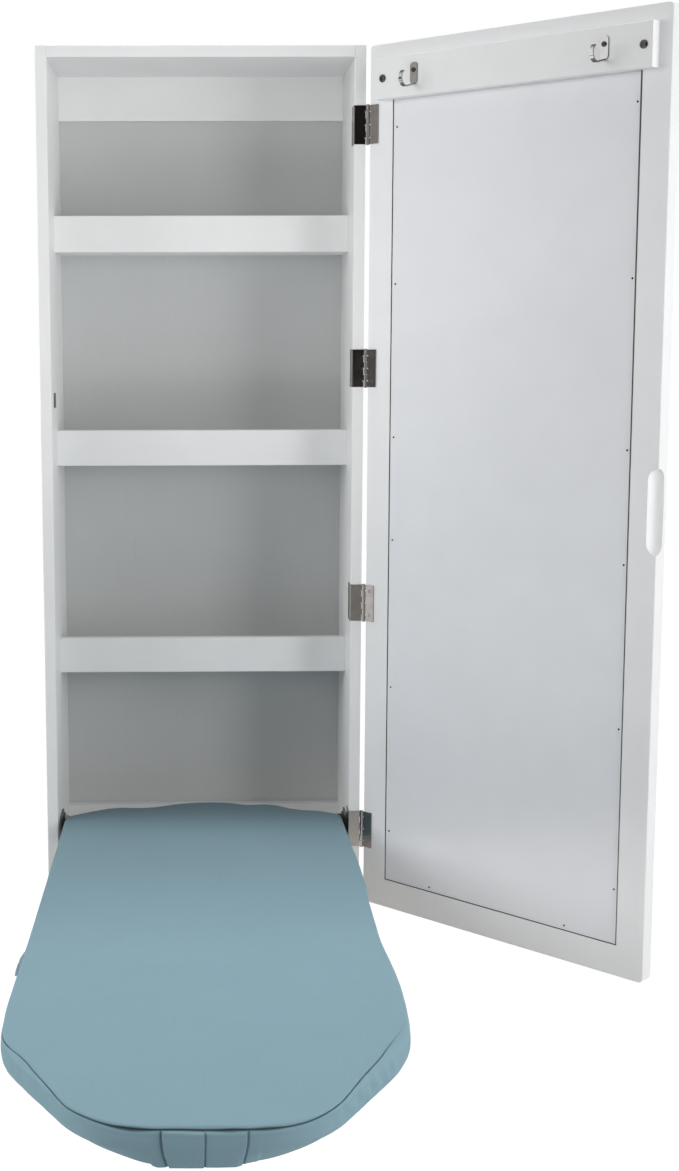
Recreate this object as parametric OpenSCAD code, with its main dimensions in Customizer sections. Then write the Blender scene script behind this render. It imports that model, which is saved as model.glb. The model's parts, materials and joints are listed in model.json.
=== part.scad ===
// Wall-hung cabinet with a mirror door and a fold-down ironing board, in millimetres.
// Drawn open: the door swung out on its four hinges and the board lowered to work height.
// Drawing space: X to the right, Y = 0 at the cabinet's front edges and growing towards the wall,
// Z = 0 at the cabinet's underside. in_frame() moves the finished pieces to the wall hangers.

/* [Cabinet] */
// Width over the side panels
cab_w = 381; // [350:1:450]
// Height of the side panels
cab_h = 1021; // [1000:1:1250]
// Depth from the front edges to the wall
cab_d = 171; // [150:1:230]
// Thickness of the side panels
side_t = 13; // [11:0.5:18]
// Thickness of the top and bottom panels
cap_t = 13; // [11:0.5:18]
// Thickness of the back panel
back_t = 3; // [2.5:0.5:5]
// Width of the groove step that holds the back panel
rabbet_w = 6; // [4:0.5:8]
// Easing radius of the front edges
ease_r = 1.2; // [0.5:0.1:2]

/* [Rails] */
// Thickness of the two rails behind the back openings
rail_t = 13; // [11:0.5:16]
// Height of the hanging rail under the top panel
top_rail_h = 53; // [45:1:80]
// Height of the rail on the bottom panel
bottom_rail_h = 64.5; // [40:0.5:80]

/* [Shelves] */
// Number of shelves
shelf_count = 3; // [3:1:3]
// Underside of the lowest shelf above the cabinet's underside
shelf_low = 273; // [220:0.5:300]
// Distance from one shelf to the next
shelf_pitch = 258.5; // [200:0.5:270]
// Thickness of a shelf
shelf_t = 12; // [11:0.5:16]
// Height of the lip in front of a shelf
lip_h = 43.5; // [25:0.5:80]
// Thickness of the lip
lip_t = 12; // [9:0.5:16]
// Depth of the bay that the folded board stands in, in front of the lips
bay_d = 69.5; // [64:0.5:80]

/* [Door] */
// Thickness of the door frame
door_t = 18; // [16:0.5:22]
// Gap between the cabinet's front edges and the closed door
door_gap = 2.8; // [2.6:0.1:4]
// Reveal of the cabinet above and below the door
door_reveal = 1.5; // [0.5:0.5:4]
// Angle the door is drawn open
door_open = 136; // [90:1:180]
// Frame width seen from inside, at the two stiles
stile_w = 32.4; // [28:0.2:45]
// Frame width seen from inside, at the bottom
door_foot_w = 33.7; // [28:0.1:60]
// Frame width seen from inside, at the top
door_head_w = 61; // [55:0.5:90]
// Step that the backing panel lies on
backing_step = 10; // [8:0.5:14]
// Step that the mirror lies on
mirror_step = 8; // [6:0.5:12]
// Depth of the backing panel below the frame's inner face
backing_sink = 1.6; // [0.5:0.1:2.5]
// Thickness of the backing panel
backing_t = 3; // [2.5:0.5:4]
// Thickness of the mirror glass
mirror_t = 3; // [2:0.5:4]
// Shadow gap around the backing panel
backing_gap = 1; // [0.5:0.1:2]
// Width of the bevel around the mirror
bevel_w = 7; // [3:0.5:10]
// Radius of the door's four corners
door_corner_r = 5; // [2:0.5:8]
// Length of the tongues that join rails to stiles
tongue_l = 12; // [8:1:20]
// Radius of the finger pull
pull_r = 12; // [8:0.5:14]
// Length of the finger pull
pull_l = 90; // [50:1:140]
// Height of the middle of the finger pull
pull_z = 509.5; // [300:0.5:700]

/* [Hook rail] */
// Height of the hook rail
hook_rail_h = 45.5; // [30:0.5:50]
// Thickness of the hook rail
hook_rail_t = 13; // [9:0.5:16]
// Distance of the hook rail below the door's top edge
hook_rail_drop = 17.5; // [16:0.5:22]
// Distance of the hook rail from the door's hinge edge
hook_rail_start = 18; // [16:0.5:20]
// Distance of the hook rail from the door's free edge
hook_rail_end = 15; // [14:0.5:20]
// Distance from the end of the hook rail to its screws
rail_screw_in = 9.8; // [8:0.1:11]
// Distance from the end of the hook rail to its hooks
hook_in = 54; // [35:1:120]
// Width of a hook's plate
hook_w = 9.5; // [8:0.5:12]
// Height of a hook's plate
hook_h = 24; // [20:0.5:28]
// Width of a hook's bent strip
hook_strip_w = 4.2; // [3:0.1:6]
// Reach of a hook
hook_reach = 26; // [20:0.5:28]
// Radius of a hook's bend
hook_bend_r = 8.5; // [7:0.1:9.5]

/* [Hinges] */
// Middle of the lowest hinge above the cabinet's underside
hinge_low = 92; // [80:0.5:100]
// Middle of the highest hinge below the cabinet's top
hinge_high = 89.5; // [75:0.5:95]
// Height of a hinge
leaf_h = 44; // [38:1:60]
// Thickness of a hinge leaf
leaf_t = 1.2; // [1:0.1:1.2]
// Width of the door leaf
leaf_w = 12.5; // [11:0.5:16]
// Depth of the cabinet leaf's flange along the side panel
wrap_d = 22; // [18:0.5:22]
// Outer radius of the knuckles
knuckle_r = 2.2; // [2:0.1:2.2]
// Radius of the hinge pins
pin_r = 1.1; // [0.9:0.05:1.2]
// Distance of a hinge's two screws from its middle
leaf_screw_z = 14.6; // [11:0.1:16]

/* [Board] */
// Pivot of the board behind the cabinet's front edges
pivot_back = 36; // [34:0.5:40]
// Pivot of the board above the cabinet's underside
pivot_z = 94; // [90:0.5:110]
// Rise of the lowered board towards its nose, in degrees
board_tilt = 1.5; // [0:0.1:3]
// Clearance between the covered board and each side panel
board_side = 7.5; // [6.5:0.5:20]
// Length of the covered board from the pivot to the nose
board_l = 857; // [700:1:858]
// Reach of the board's tail behind the pivot
tail_l = 50; // [40:1:55]
// Radius of the nose's two corners
nose_r = 90; // [60:1:110]
// Length of the flat front of the nose
nose_flat = 60; // [30:1:90]
// Slant of the board's sides towards the nose
nose_slant = 30; // [20:1:40]
// Radius of the shoulders where the sides start to slant
shoulder_r = 150; // [80:1:200]
// Thickness of the wooden deck
deck_t = 12; // [9:0.5:15]
// Thickness of the foam pad
pad_t = 5; // [3:0.5:6]
// Thickness of the cover's cloth
cloth_t = 1.2; // [0.8:0.1:2]
// Top of the cover above the pivot
cover_top = 9; // [6:0.5:12]
// Height of the cover from hem to top
cover_h = 31; // [28:0.5:34]
// Clearance between the soft pieces and the deck
soft_gap = 0.3; // [0.2:0.1:0.6]
// Middle of the holding tab in front of the pivot
tab_u = 519; // [300:1:600]
// Length of the holding tab
tab_l = 62; // [30:1:80]

/* [Board pivots] */
// Thickness of a pivot plate
plate_t = 2; // [1.5:0.5:2.5]
// Thickness of a pivot arm
arm_t = 2.5; // [2:0.5:3]
// Gap between a pivot plate and its arm
arm_gap = 1; // [0.8:0.1:1.5]
// Radius of a pivot stud
stud_r = 3; // [2.5:0.5:4]
// Running clearance of studs, pins and bushes
run_gap = 0.05; // [0.02:0.01:0.08]
// Radius of a stop stud
stop_r = 4; // [3:0.5:5]
// Reach of an arm's heel behind the pivot
heel_l = 32; // [30:1:36]
// Length of an arm's flange under the deck
flange_l = 150; // [100:1:250]
// Width of an arm's flange under the deck
flange_w = 34; // [24:1:45]

/* [Wall hangers] */
// Distance between the two hanger holes
hanger_pitch = 240; // [120:1:260]
// Radius of a hanger hole, which the wall screw's head goes through
hanger_r = 4.2; // [3.5:0.1:5]
// Half width of the slot above it, where the screw's shank comes to rest
hanger_slot_r = 2.3; // [2:0.1:3]
// Height of the slot above the hanger hole
hanger_slot_h = 8; // [7:0.5:9]
// Width of a hanger plate
hanger_w = 46; // [40:1:60]
// Height of a hanger plate
hanger_h = 27; // [25:1:30]

/* [Hidden] */
$fn = 48;
BIG = 2000;
WHITE = [0.93, 0.93, 0.92];
BOARD_GREY = [0.70, 0.71, 0.71];
BEECH = [0.80, 0.68, 0.50];
NICKEL = [0.55, 0.52, 0.49];
STEEL = [0.25, 0.25, 0.26];
CLOTH = [0.52, 0.65, 0.70];
half_w = cab_w / 2;
inner_w = half_w - side_t;
back_y = cab_d - back_t;
lip_y = bay_d;
shelf_y = lip_y + lip_t;
rail_y = back_y - rail_t;
under_top = cab_h - cap_t;
hanger_z = under_top - top_rail_h / 2;
door_h = cab_h - 2 * door_reveal;
door_low = door_reveal;
door_high = cab_h - door_reveal;
glue_gap = 0.05;

// Hinges
hinge_x = half_w + knuckle_r + 0.05;
hinge_y = -door_gap / 2;
knuckle_gap = 0.25;
knuckle_n = 6;
notch_h = 2;
notch_d = 1;
knuckle_h = (leaf_h - (knuckle_n - 1) * knuckle_gap) / knuckle_n;
hinge_n = 4;
hinge_pitch = (cab_h - hinge_low - hinge_high) / (hinge_n - 1);
screw_r = 1.6;
screw_head_r = 3;
cabinet_screw_l = 10;
door_screw_l = 13;
wrap_screw_y = wrap_d * 0.6;
door_screw_x = half_w - 6.7;

// Wooden dowels, two at each end of a panel and one at each end of a rail
dowel_r = 4;
dowel_in_side = 8;
dowel_in_panel = 22;
cap_dowels = [for (y = [30, 130]) for (z = [cap_t / 2, cab_h - cap_t / 2]) [y, z]];
shelf_dowels = [
    for (i = [0:shelf_count - 1])
        for (y = [shelf_y + 20, back_y - 20])
            [y, shelf_z(i) + shelf_t / 2]
];
rail_dowels = [for (z = [cap_t + bottom_rail_h / 2, hanger_z]) [rail_y + rail_t / 2, z]];
all_dowels = concat(cap_dowels, shelf_dowels, rail_dowels);

// Pins along the back panel's two long edges
back_pin_n = 7;
back_pin_r = 0.7;
back_pin_l = 14;
back_pin_head_r = 1.6;
back_pin_x = inner_w + rabbet_w / 2;
back_pin_pitch = (under_top - cap_t - 80) / (back_pin_n - 1);

// Wall hangers
hanger_screw_x = hanger_w / 2 - 7;
hanger_screw_l = 11;
hanger_pocket_r = 7;
hanger_pocket_slot_r = 5.5;
hanger_pocket_d = 10;
hanger_fit = 0.5;

// Door frame, mirror and backing, as depths behind the frame's inner face
backing_floor = backing_sink + backing_t;
mirror_floor = backing_floor + 0.2 + mirror_t;
sight_x = half_w - stile_w - backing_step - mirror_step;
sight_low = door_low + door_foot_w + backing_step + mirror_step;
sight_high = door_high - door_head_w - backing_step - mirror_step;
mirror_fit = 0.5;
nail_r = 0.6;
nail_head_r = 1.1;
nail_in = 4.6;
nail_l = 9;
nail_low = 97;
nail_high = cab_h - 95;
nail_pitch = 177;
foot_nail_x = 92;
tongue_t = 5;
tongue_y = mirror_floor + 0.8;

// Hook rail
hook_rail_x1 = half_w - hook_rail_start;
hook_rail_x0 = -half_w + hook_rail_end;
hook_rail_l = hook_rail_x1 - hook_rail_x0;
hook_rail_z1 = door_high - hook_rail_drop;
hook_rail_z0 = hook_rail_z1 - hook_rail_h;
hook_rail_mid = (hook_rail_z0 + hook_rail_z1) / 2;
rail_screw_r = 2.1;
rail_screw_head_r = 4.4;
rail_screw_l = 26;
hook_t = 1.4;
hook_tip_a = 60;
hook_lead_a = -105;
hook_screw_r = 1.4;
hook_screw_head_r = 2.8;
hook_screw_l = 11;
hook_screw_up = 15.5;
hook_z0 = hook_rail_mid - 10.5;
hook_xs = [hook_rail_x1 - hook_in, hook_rail_x0 + hook_in];

// Board, in its own space: X across, Y = -u along it from the pivot, Z up from the pivot
board_w = 2 * (inner_w - board_side);
cover_low = cover_top - cover_h;
pad_top = cover_top - cloth_t - soft_gap;
pad_low = pad_top - pad_t;
deck_top = pad_low - soft_gap;
deck_low = deck_top - deck_t;
tail_r = (pow(board_w / 2, 2) + pow(tail_l + 12, 2)) / (2 * (tail_l + 12));
skirt_start = 18;
arc_step = 6;
deck_inset = cloth_t + soft_gap;
pad_inset = deck_inset + 0.5;

// Board pivots, as distances from the middle of the cabinet
plate_x = inner_w - plate_t;
arm_x1 = plate_x - arm_gap;
arm_x0 = arm_x1 - arm_t;
plate_front = wrap_d + 3;
plate_l = 41;
plate_low = pivot_z - 28;
plate_high = pivot_z + 6;
plate_screws_yz = [
    [plate_front + 6, plate_low + 6],
    [plate_front + plate_l - 5, plate_low + 6],
    [pivot_back + 14, pivot_z],
];
plate_screw_l = 11;
bush_r = stud_r + run_gap + 1;
bush_flange_r = bush_r + 2.4;
bush_flange_t = 0.8;
nut_flat = 10;
nut_t = 5;
nut_gap = 0.2;
ear_front = 13;
ear_back = 10;
ear_top = 7;
heel_top = deck_low - arm_t;
heel_low = heel_top - 9.7;
stop_gap = 0.3;
stop_u = -(heel_l - 8);
stop_h = heel_top + stop_r + stop_gap;
stop_l = 4;
flange_x1 = board_w / 2 - 6;
flange_x0 = flange_x1 - flange_w;
arm_screw_u = [for (i = [0:2]) 30 + i * (flange_l - 45) / 2];
arm_screw_l = 10;

// Holding tab and its patch
tab_reach = 5.3;
tab_t = 0.8;
patch_t = 1.3;
patch_l = 20;
patch_h = 18;

function shelf_z(i) = shelf_low + i * shelf_pitch;
function hinge_z(i) = hinge_low + i * hinge_pitch;
// Points of an arc round c, from angle a0 to a1, in steps that fit arc_step
function arc(c, r, a0, a1) =
    let (n = ceil(abs(a1 - a0) / arc_step))
    [for (i = [0:n]) let (a = a0 + (a1 - a0) * i / n) [c[0] + r * cos(a), c[1] + r * sin(a)]];
function mirrored(points) = [for (i = [len(points) - 1:-1:0]) [-points[i][0], points[i][1]]];

// Right half of the board's outline, inset by i: shoulder arc, slanted side, nose corner
function nose_half(i) =
    let (
        x_a = board_w / 2 - shoulder_r * (1 - cos(nose_slant)),
        x_b = nose_flat / 2 + nose_r * cos(nose_slant),
        u_nose = board_l - nose_r,
        u_shoulder = u_nose + (nose_r - shoulder_r) * sin(nose_slant) - (x_a - x_b) / tan(nose_slant)
    )
    concat(
        arc([board_w / 2 - shoulder_r, u_shoulder], shoulder_r - i, 0, nose_slant),
        arc([nose_flat / 2, u_nose], nose_r - i, nose_slant, 90)
    );
// Tail of the board, an arc from the right side to the left, inset by i
function tail_arc(i) =
    let (a = asin((board_w / 2 - i) / (tail_r - i)))
    arc([0, tail_r - tail_l], tail_r - i, 270 - a, 270 + a);
function board_outline(i) =
    [for (p = concat(nose_half(i), mirrored(nose_half(i)), tail_arc(i))) [p[0], -p[1]]];

module in_frame() {
    translate([0, -cab_d, -hanger_z]) children();
}

module box(low, high) {
    translate(low) cube(high - low);
}

module both_sides() {
    children();
    mirror([1, 0, 0]) children();
}

// Turns what is drawn on the closed door to the angle that the door stands open
module on_door() {
    translate([hinge_x, hinge_y, 0])
        rotate([0, 0, door_open])
            translate([-hinge_x, -hinge_y, 0]) children();
}

// Places what is drawn in the board's own space
module on_board() {
    translate([0, pivot_back, pivot_z]) rotate([-board_tilt, 0, 0]) children();
}

// Rod of radius r along the positive X axis
module rod_x(r, l) {
    rotate([0, 90, 0]) cylinder(r = r, h = l);
}

// Rod of radius r along the positive Y axis
module rod_y(r, l) {
    rotate([-90, 0, 0]) cylinder(r = r, h = l);
}

// Rectangle w by h with its corners rounded by r
module rounded(w, h, r) {
    translate([r, 0]) square([w - 2 * r, h]);
    translate([0, r]) square([w, h - 2 * r]);
    for (x = [r, w - r])
        for (y = [r, h - r])
            translate([x, y]) circle(r);
}

// Screw along +Z with its countersunk head's top at Z = 0 and its point at Z = l
module flush_screw(r, head_r, l) {
    difference() {
        union() {
            cylinder(r1 = head_r, r2 = r, h = (head_r - r) * 0.75);
            cylinder(r = r, h = l - 1.5 * r);
            translate([0, 0, l - 1.5 * r]) cylinder(r1 = r, r2 = 0.3, h = 1.5 * r);
        }
        cross_slot(head_r);
    }
}

module cross_slot(head_r) {
    for (a = [45, 135])
        rotate([0, 0, a])
            translate([-head_r * 0.62, -head_r * 0.13, -1]) cube([head_r * 1.24, head_r * 0.26, 1.7]);
}

// Hole that flush_screw fits in, with run_gap all round
module flush_hole(r, head_r, l) {
    translate([0, 0, -1]) cylinder(r = head_r + run_gap, h = 1 + run_gap);
    translate([0, 0, run_gap]) cylinder(r1 = head_r + run_gap, r2 = r + run_gap, h = (head_r - r) * 0.75);
    cylinder(r = r + run_gap, h = l + 0.5);
}

// Screw along +Z with a domed head that stands below Z = 0
module dome_screw(r, head_r, l) {
    difference() {
        union() {
            cylinder(r = r, h = l);
            translate([0, 0, -0.8]) cylinder(r = head_r, h = 0.8);
            translate([0, 0, -0.8])
                intersection() {
                    scale_dome(head_r);
                    translate([-head_r, -head_r, -2 * head_r]) cube(2 * head_r);
                }
        }
        translate([0, 0, -1.9]) cross_slot(head_r);
    }
}

// Shallow dome of radius head_r, 1.5 high, with its rim at Z = 0
module scale_dome(head_r) {
    dome_h = 1.5;
    ball_r = (head_r * head_r + dome_h * dome_h) / (2 * dome_h);
    translate([0, 0, ball_r - dome_h]) sphere(ball_r, $fn = 64);
}

// ---- Cabinet ----

module dowel_set(extra) {
    for (p = all_dowels)
        both_sides()
            translate([inner_w - dowel_in_panel, p[0], p[1]])
                rod_x(dowel_r + extra, dowel_in_panel + dowel_in_side);
}

module back_space() {
    box(
        [-inner_w - rabbet_w, back_y, cap_t - rabbet_w],
        [inner_w + rabbet_w, cab_d + 1, under_top + rabbet_w]
    );
}

module back_pin_set(extra) {
    for (i = [0:back_pin_n - 1])
        both_sides()
            translate([back_pin_x, cab_d - 0.6, cap_t + 40 + i * back_pin_pitch]) {
                translate([0, -back_pin_l, 0]) rod_y(back_pin_r + extra, back_pin_l);
                rod_y(back_pin_head_r + extra, extra > 0 ? 1.6 : 0.5);
            }
}

// Upright panel with its two front edges eased, drawn at the right
module side_blank() {
    translate([inner_w, 0, 0])
        linear_extrude(cab_h)
            union() {
                rounded(side_t, 4 * ease_r, ease_r);
                translate([0, 2 * ease_r]) square([side_t, cab_d - 2 * ease_r]);
            }
}

module plate_screw_set(hole) {
    for (p = plate_screws_yz)
        both_sides()
            translate([plate_x, p[0], p[1]])
                rotate([0, 90, 0])
                    if (hole) flush_hole(screw_r, screw_head_r, plate_screw_l);
                    else flush_screw(screw_r, screw_head_r, plate_screw_l);
}

module cabinet_leaf_screw_set(hole) {
    for (i = [0:hinge_n - 1])
        for (z = [-leaf_screw_z, leaf_screw_z])
            translate([inner_w - leaf_t, wrap_screw_y, hinge_z(i) + z])
                rotate([0, 90, 0])
                    if (hole) flush_hole(screw_r, screw_head_r, cabinet_screw_l);
                    else flush_screw(screw_r, screw_head_r, cabinet_screw_l);
}

module side_left() {
    color(WHITE)
        difference() {
            mirror([1, 0, 0]) side_blank();
            back_space();
            dowel_set(run_gap);
            back_pin_set(run_gap);
            plate_screw_set(true);
        }
}

module side_right() {
    color(WHITE)
        difference() {
            side_blank();
            back_space();
            dowel_set(run_gap);
            back_pin_set(run_gap);
            plate_screw_set(true);
            cabinet_leaf_screw_set(true);
        }
}

// Level panel between the sides, t thick, from y0 to y1, with its front edges eased
module level_panel(y0, y1, t) {
    translate([-inner_w + glue_gap, 0, 0])
        rotate([90, 0, 90])
            linear_extrude(2 * (inner_w - glue_gap))
                union() {
                    translate([y0, 0]) rounded(4 * ease_r, t, ease_r);
                    translate([y0 + 2 * ease_r, 0]) square([y1 - y0 - 2 * ease_r, t]);
                }
}

module top_panel() {
    color(WHITE)
        difference() {
            translate([0, 0, under_top]) level_panel(0, cab_d, cap_t);
            back_space();
            dowel_set(run_gap);
        }
}

module bottom_panel() {
    color(WHITE)
        difference() {
            level_panel(0, cab_d, cap_t);
            back_space();
            dowel_set(run_gap);
        }
}

module hanger_spots() {
    for (x = [-hanger_pitch / 2, hanger_pitch / 2])
        translate([x, 0, hanger_z]) children();
}

module back_panel() {
    fit = 0.2;
    color(BOARD_GREY)
        difference() {
            box(
                [-inner_w - rabbet_w + fit, back_y, cap_t - rabbet_w + fit],
                [inner_w + rabbet_w - fit, cab_d, under_top + rabbet_w - fit]
            );
            hanger_spots()
                box(
                    [-hanger_w / 2 - hanger_fit, back_y - 1, -hanger_h / 2 - hanger_fit],
                    [hanger_w / 2 + hanger_fit, cab_d + 1, hanger_h / 2 + hanger_fit]
                );
            back_pin_set(run_gap);
        }
}

// Keyhole along Y: a round hole of radius r with a slot of half width slot_r above it
module keyhole(r, slot_r, y0, y1) {
    translate([0, y0, 0]) rod_y(r, y1 - y0);
    translate([0, y0, hanger_slot_h]) rod_y(slot_r, y1 - y0);
    box([-slot_r, y0, 0], [slot_r, y1, hanger_slot_h]);
}

module hanger_screw_set(hole) {
    hanger_spots()
        for (x = [-hanger_screw_x, hanger_screw_x])
            translate([x, cab_d, 0])
                rotate([90, 0, 0])
                    if (hole) flush_hole(screw_r, screw_head_r, hanger_screw_l);
                    else flush_screw(screw_r, screw_head_r, hanger_screw_l);
}

module top_rail() {
    color(WHITE)
        difference() {
            box(
                [-inner_w + glue_gap, rail_y, under_top - top_rail_h],
                [inner_w - glue_gap, back_y, under_top]
            );
            dowel_set(run_gap);
            hanger_spots()
                keyhole(hanger_pocket_r, hanger_pocket_slot_r, back_y - hanger_pocket_d, back_y + 1);
            hanger_screw_set(true);
        }
}

module bottom_rail() {
    color(WHITE)
        difference() {
            box([-inner_w + glue_gap, rail_y, cap_t], [inner_w - glue_gap, back_y, cap_t + bottom_rail_h]);
            dowel_set(run_gap);
        }
}

module shelf(i) {
    color(WHITE)
        difference() {
            box(
                [-inner_w + glue_gap, shelf_y, shelf_z(i)],
                [inner_w - glue_gap, back_y, shelf_z(i) + shelf_t]
            );
            dowel_set(run_gap);
        }
}

module lip(i) {
    color(WHITE)
        translate([-inner_w + glue_gap, 0, shelf_z(i)])
            rotate([90, 0, 90])
                linear_extrude(2 * (inner_w - glue_gap))
                    translate([lip_y, 0]) rounded(lip_t, lip_h, ease_r);
}

module dowels() {
    color(BEECH) dowel_set(0);
}

module back_pins() {
    color(NICKEL) back_pin_set(0);
}

module hanger_plates() {
    color(NICKEL)
        difference() {
            hanger_spots()
                translate([-hanger_w / 2, back_y, -hanger_h / 2])
                    translate([0, back_t, 0])
                        rotate([90, 0, 0]) linear_extrude(back_t) rounded(hanger_w, hanger_h, 3);
            hanger_spots() keyhole(hanger_r, hanger_slot_r, back_y - 1, cab_d + 1);
            hanger_screw_set(true);
        }
}

module hanger_screws() {
    color(NICKEL) hanger_screw_set(false);
}

// ---- Hinges ----

function knuckle_z(k) = -leaf_h / 2 + k * (knuckle_h + knuckle_gap);

// Barrel pieces of a hinge whose leaf lies between y0 and y1, with tongues back to the leaf
module knuckles(ks, y0, y1) {
    for (k = ks)
        translate([0, 0, knuckle_z(k)]) {
            translate([hinge_x, hinge_y, 0]) cylinder(r = knuckle_r, h = knuckle_h);
            box([hinge_x - knuckle_r - 0.4, y0, 0], [hinge_x - pin_r - 0.15, y1, knuckle_h]);
        }
}

module pin_bore() {
    translate([hinge_x, hinge_y, -leaf_h]) cylinder(r = pin_r + run_gap, h = 2 * leaf_h);
}

// See-through notches at the barrel, where one leaf's knuckle ends above the other's
module notches(x0, x1) {
    for (k = [1, 3, 5])
        box([x0, -BIG, knuckle_z(k) - notch_h * 0.7], [x1, BIG, knuckle_z(k) + notch_h * 0.3]);
}

module cabinet_leaf(i) {
    leaf_end = hinge_x - knuckle_r - 0.25;
    color(NICKEL)
        difference() {
            translate([0, 0, hinge_z(i)])
                difference() {
                    union() {
                        box([inner_w, -leaf_t, -leaf_h / 2], [leaf_end, 0, leaf_h / 2]);
                        box([inner_w - leaf_t, 0, -leaf_h / 2], [inner_w, wrap_d, leaf_h / 2]);
                        translate([inner_w, 0, -leaf_h / 2]) cylinder(r = leaf_t, h = leaf_h);
                        knuckles([1, 3, 5], -leaf_t, 0);
                    }
                    pin_bore();
                    notches(leaf_end - notch_d, leaf_end + 0.1);
                }
            cabinet_leaf_screw_set(true);
            translate([0, 0, hinge_z(i) - leaf_h]) box([inner_w, 0, 0], [half_w, wrap_d, 2 * leaf_h]);
        }
}

module door_leaf_screw_set(hole) {
    for (i = [0:hinge_n - 1])
        for (z = [-leaf_screw_z, leaf_screw_z])
            translate([door_screw_x, -door_gap + leaf_t, hinge_z(i) + z])
                rotate([90, 0, 0])
                    if (hole) flush_hole(screw_r, screw_head_r, door_screw_l);
                    else flush_screw(screw_r, screw_head_r, door_screw_l);
}

module door_leaf(i) {
    leaf_end = hinge_x - knuckle_r - 0.25;
    color(NICKEL)
        on_door()
            difference() {
                translate([0, 0, hinge_z(i)])
                    difference() {
                        union() {
                            box(
                                [half_w - leaf_w, -door_gap, -leaf_h / 2],
                                [leaf_end, -door_gap + leaf_t, leaf_h / 2]
                            );
                            knuckles([0, 2, 4], -door_gap, -door_gap + leaf_t);
                        }
                        pin_bore();
                        notches(leaf_end - notch_d, leaf_end + 0.1);
                    }
                door_leaf_screw_set(true);
            }
}

module hinge_pins() {
    cap_h = 0.9;
    color(NICKEL)
        for (i = [0:hinge_n - 1])
            translate([hinge_x, hinge_y, hinge_z(i)]) {
                translate([0, 0, -leaf_h / 2 - cap_h]) cylinder(r = pin_r, h = leaf_h + 2 * cap_h);
                for (z = [-leaf_h / 2 - cap_h, leaf_h / 2 + run_gap])
                    translate([0, 0, z]) cylinder(r = knuckle_r - 0.3, h = cap_h - run_gap);
            }
}

module cabinet_leaf_screws() {
    color(NICKEL) cabinet_leaf_screw_set(false);
}

module door_leaf_screws() {
    color(NICKEL) on_door() door_leaf_screw_set(false);
}

// ---- Door, drawn closed ----

// Slab of the whole door with rounded corners and eased long edges
module door_blank() {
    intersection() {
        translate([-half_w, -door_gap, door_low])
            rotate([90, 0, 0]) linear_extrude(door_t) rounded(cab_w, door_h, door_corner_r);
        translate([-half_w, -door_gap - door_t, door_low])
            linear_extrude(door_h) rounded(cab_w, door_t, ease_r);
    }
}

// Space that the backing, the mirror and the sight opening take out of the frame
module door_opening() {
    face = -door_gap;
    open_x = half_w - stile_w;
    open_low = door_low + door_foot_w;
    open_high = door_high - door_head_w;
    box([-open_x, face - backing_floor, open_low], [open_x, face + 1, open_high]);
    box(
        [-open_x + backing_step, face - mirror_floor, open_low + backing_step],
        [open_x - backing_step, face, open_high - backing_step]
    );
    bevel_y = face - mirror_floor - 1.5;
    front_y = face - door_t - 1;
    spread = bevel_w * (bevel_y - front_y) / (bevel_y - front_y - 1);
    intersection() {
        translate([0, 0, sight_low - 2 * bevel_w])
            linear_extrude(sight_high - sight_low + 4 * bevel_w)
                polygon([
                    [-sight_x, face], [sight_x, face], [sight_x, bevel_y],
                    [sight_x + spread, front_y], [-sight_x - spread, front_y], [-sight_x, bevel_y],
                ]);
        translate([-half_w, 0, 0])
            rotate([90, 0, 90])
                linear_extrude(cab_w)
                    polygon([
                        [face, sight_low], [face, sight_high], [bevel_y, sight_high],
                        [front_y, sight_high + spread], [front_y, sight_low - spread], [bevel_y, sight_low],
                    ]);
    }
}

// Tongue of a door rail, at the stile on the right
module tongue(z0, z1, fit) {
    box(
        [sight_x - 1, -door_gap - tongue_y - tongue_t - fit, z0 + 8 - fit],
        [sight_x + tongue_l + fit, -door_gap - tongue_y + fit, z1 - 8 + fit]
    );
}

module tongue_holes() {
    both_sides() {
        tongue(door_low, sight_low, 0.1);
        tongue(sight_high, door_high, 0.1);
    }
}

module nail_set(extra) {
    side_x = half_w - stile_w - backing_gap - nail_in;
    foot_z = door_low + door_foot_w + backing_gap + nail_in;
    rows = concat(
        [for (i = [0:2]) nail_low + i * nail_pitch],
        [for (i = [0:2]) nail_high - i * nail_pitch]
    );
    spots = concat(
        [for (z = rows) for (x = [-side_x, side_x]) [x, z]],
        [for (x = [-foot_nail_x, foot_nail_x]) [x, foot_z]]
    );
    for (p = spots)
        translate([p[0], -door_gap - backing_sink + 0.25, p[1]])
            rotate([90, 0, 0]) {
                cylinder(r = nail_r + extra, h = nail_l);
                translate([0, 0, extra > 0 ? -2 : 0])
                    cylinder(r = nail_head_r + extra, h = extra > 0 ? 2.5 : 0.5);
            }
}

module rail_screw_set(hole) {
    for (x = [hook_rail_x0 + rail_screw_in, hook_rail_x1 - rail_screw_in])
        translate([x, -door_gap + hook_rail_t, hook_rail_mid])
            rotate([90, 0, 0])
                if (hole)
                    translate([0, 0, -1]) cylinder(r = rail_screw_r + run_gap, h = rail_screw_l + 1.5);
                else dome_screw(rail_screw_r, rail_screw_head_r, rail_screw_l);
}

module finger_pull() {
    translate([-half_w, -door_gap, pull_z]) {
        translate([0, 0, -pull_l / 2 + pull_r]) cylinder(r = pull_r, h = pull_l - 2 * pull_r);
        for (z = [-pull_l / 2 + pull_r, pull_l / 2 - pull_r])
            translate([0, 0, z]) sphere(pull_r);
    }
}

module hinge_stile() {
    color(WHITE)
        on_door()
            difference() {
                intersection() {
                    door_blank();
                    box([sight_x, -BIG, -BIG], [BIG, BIG, BIG]);
                }
                door_opening();
                tongue_holes();
                nail_set(run_gap);
                rail_screw_set(true);
                door_leaf_screw_set(true);
            }
}

module pull_stile() {
    color(WHITE)
        on_door()
            difference() {
                intersection() {
                    door_blank();
                    box([-BIG, -BIG, -BIG], [-sight_x, BIG, BIG]);
                }
                door_opening();
                tongue_holes();
                nail_set(run_gap);
                rail_screw_set(true);
                finger_pull();
            }
}

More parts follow.
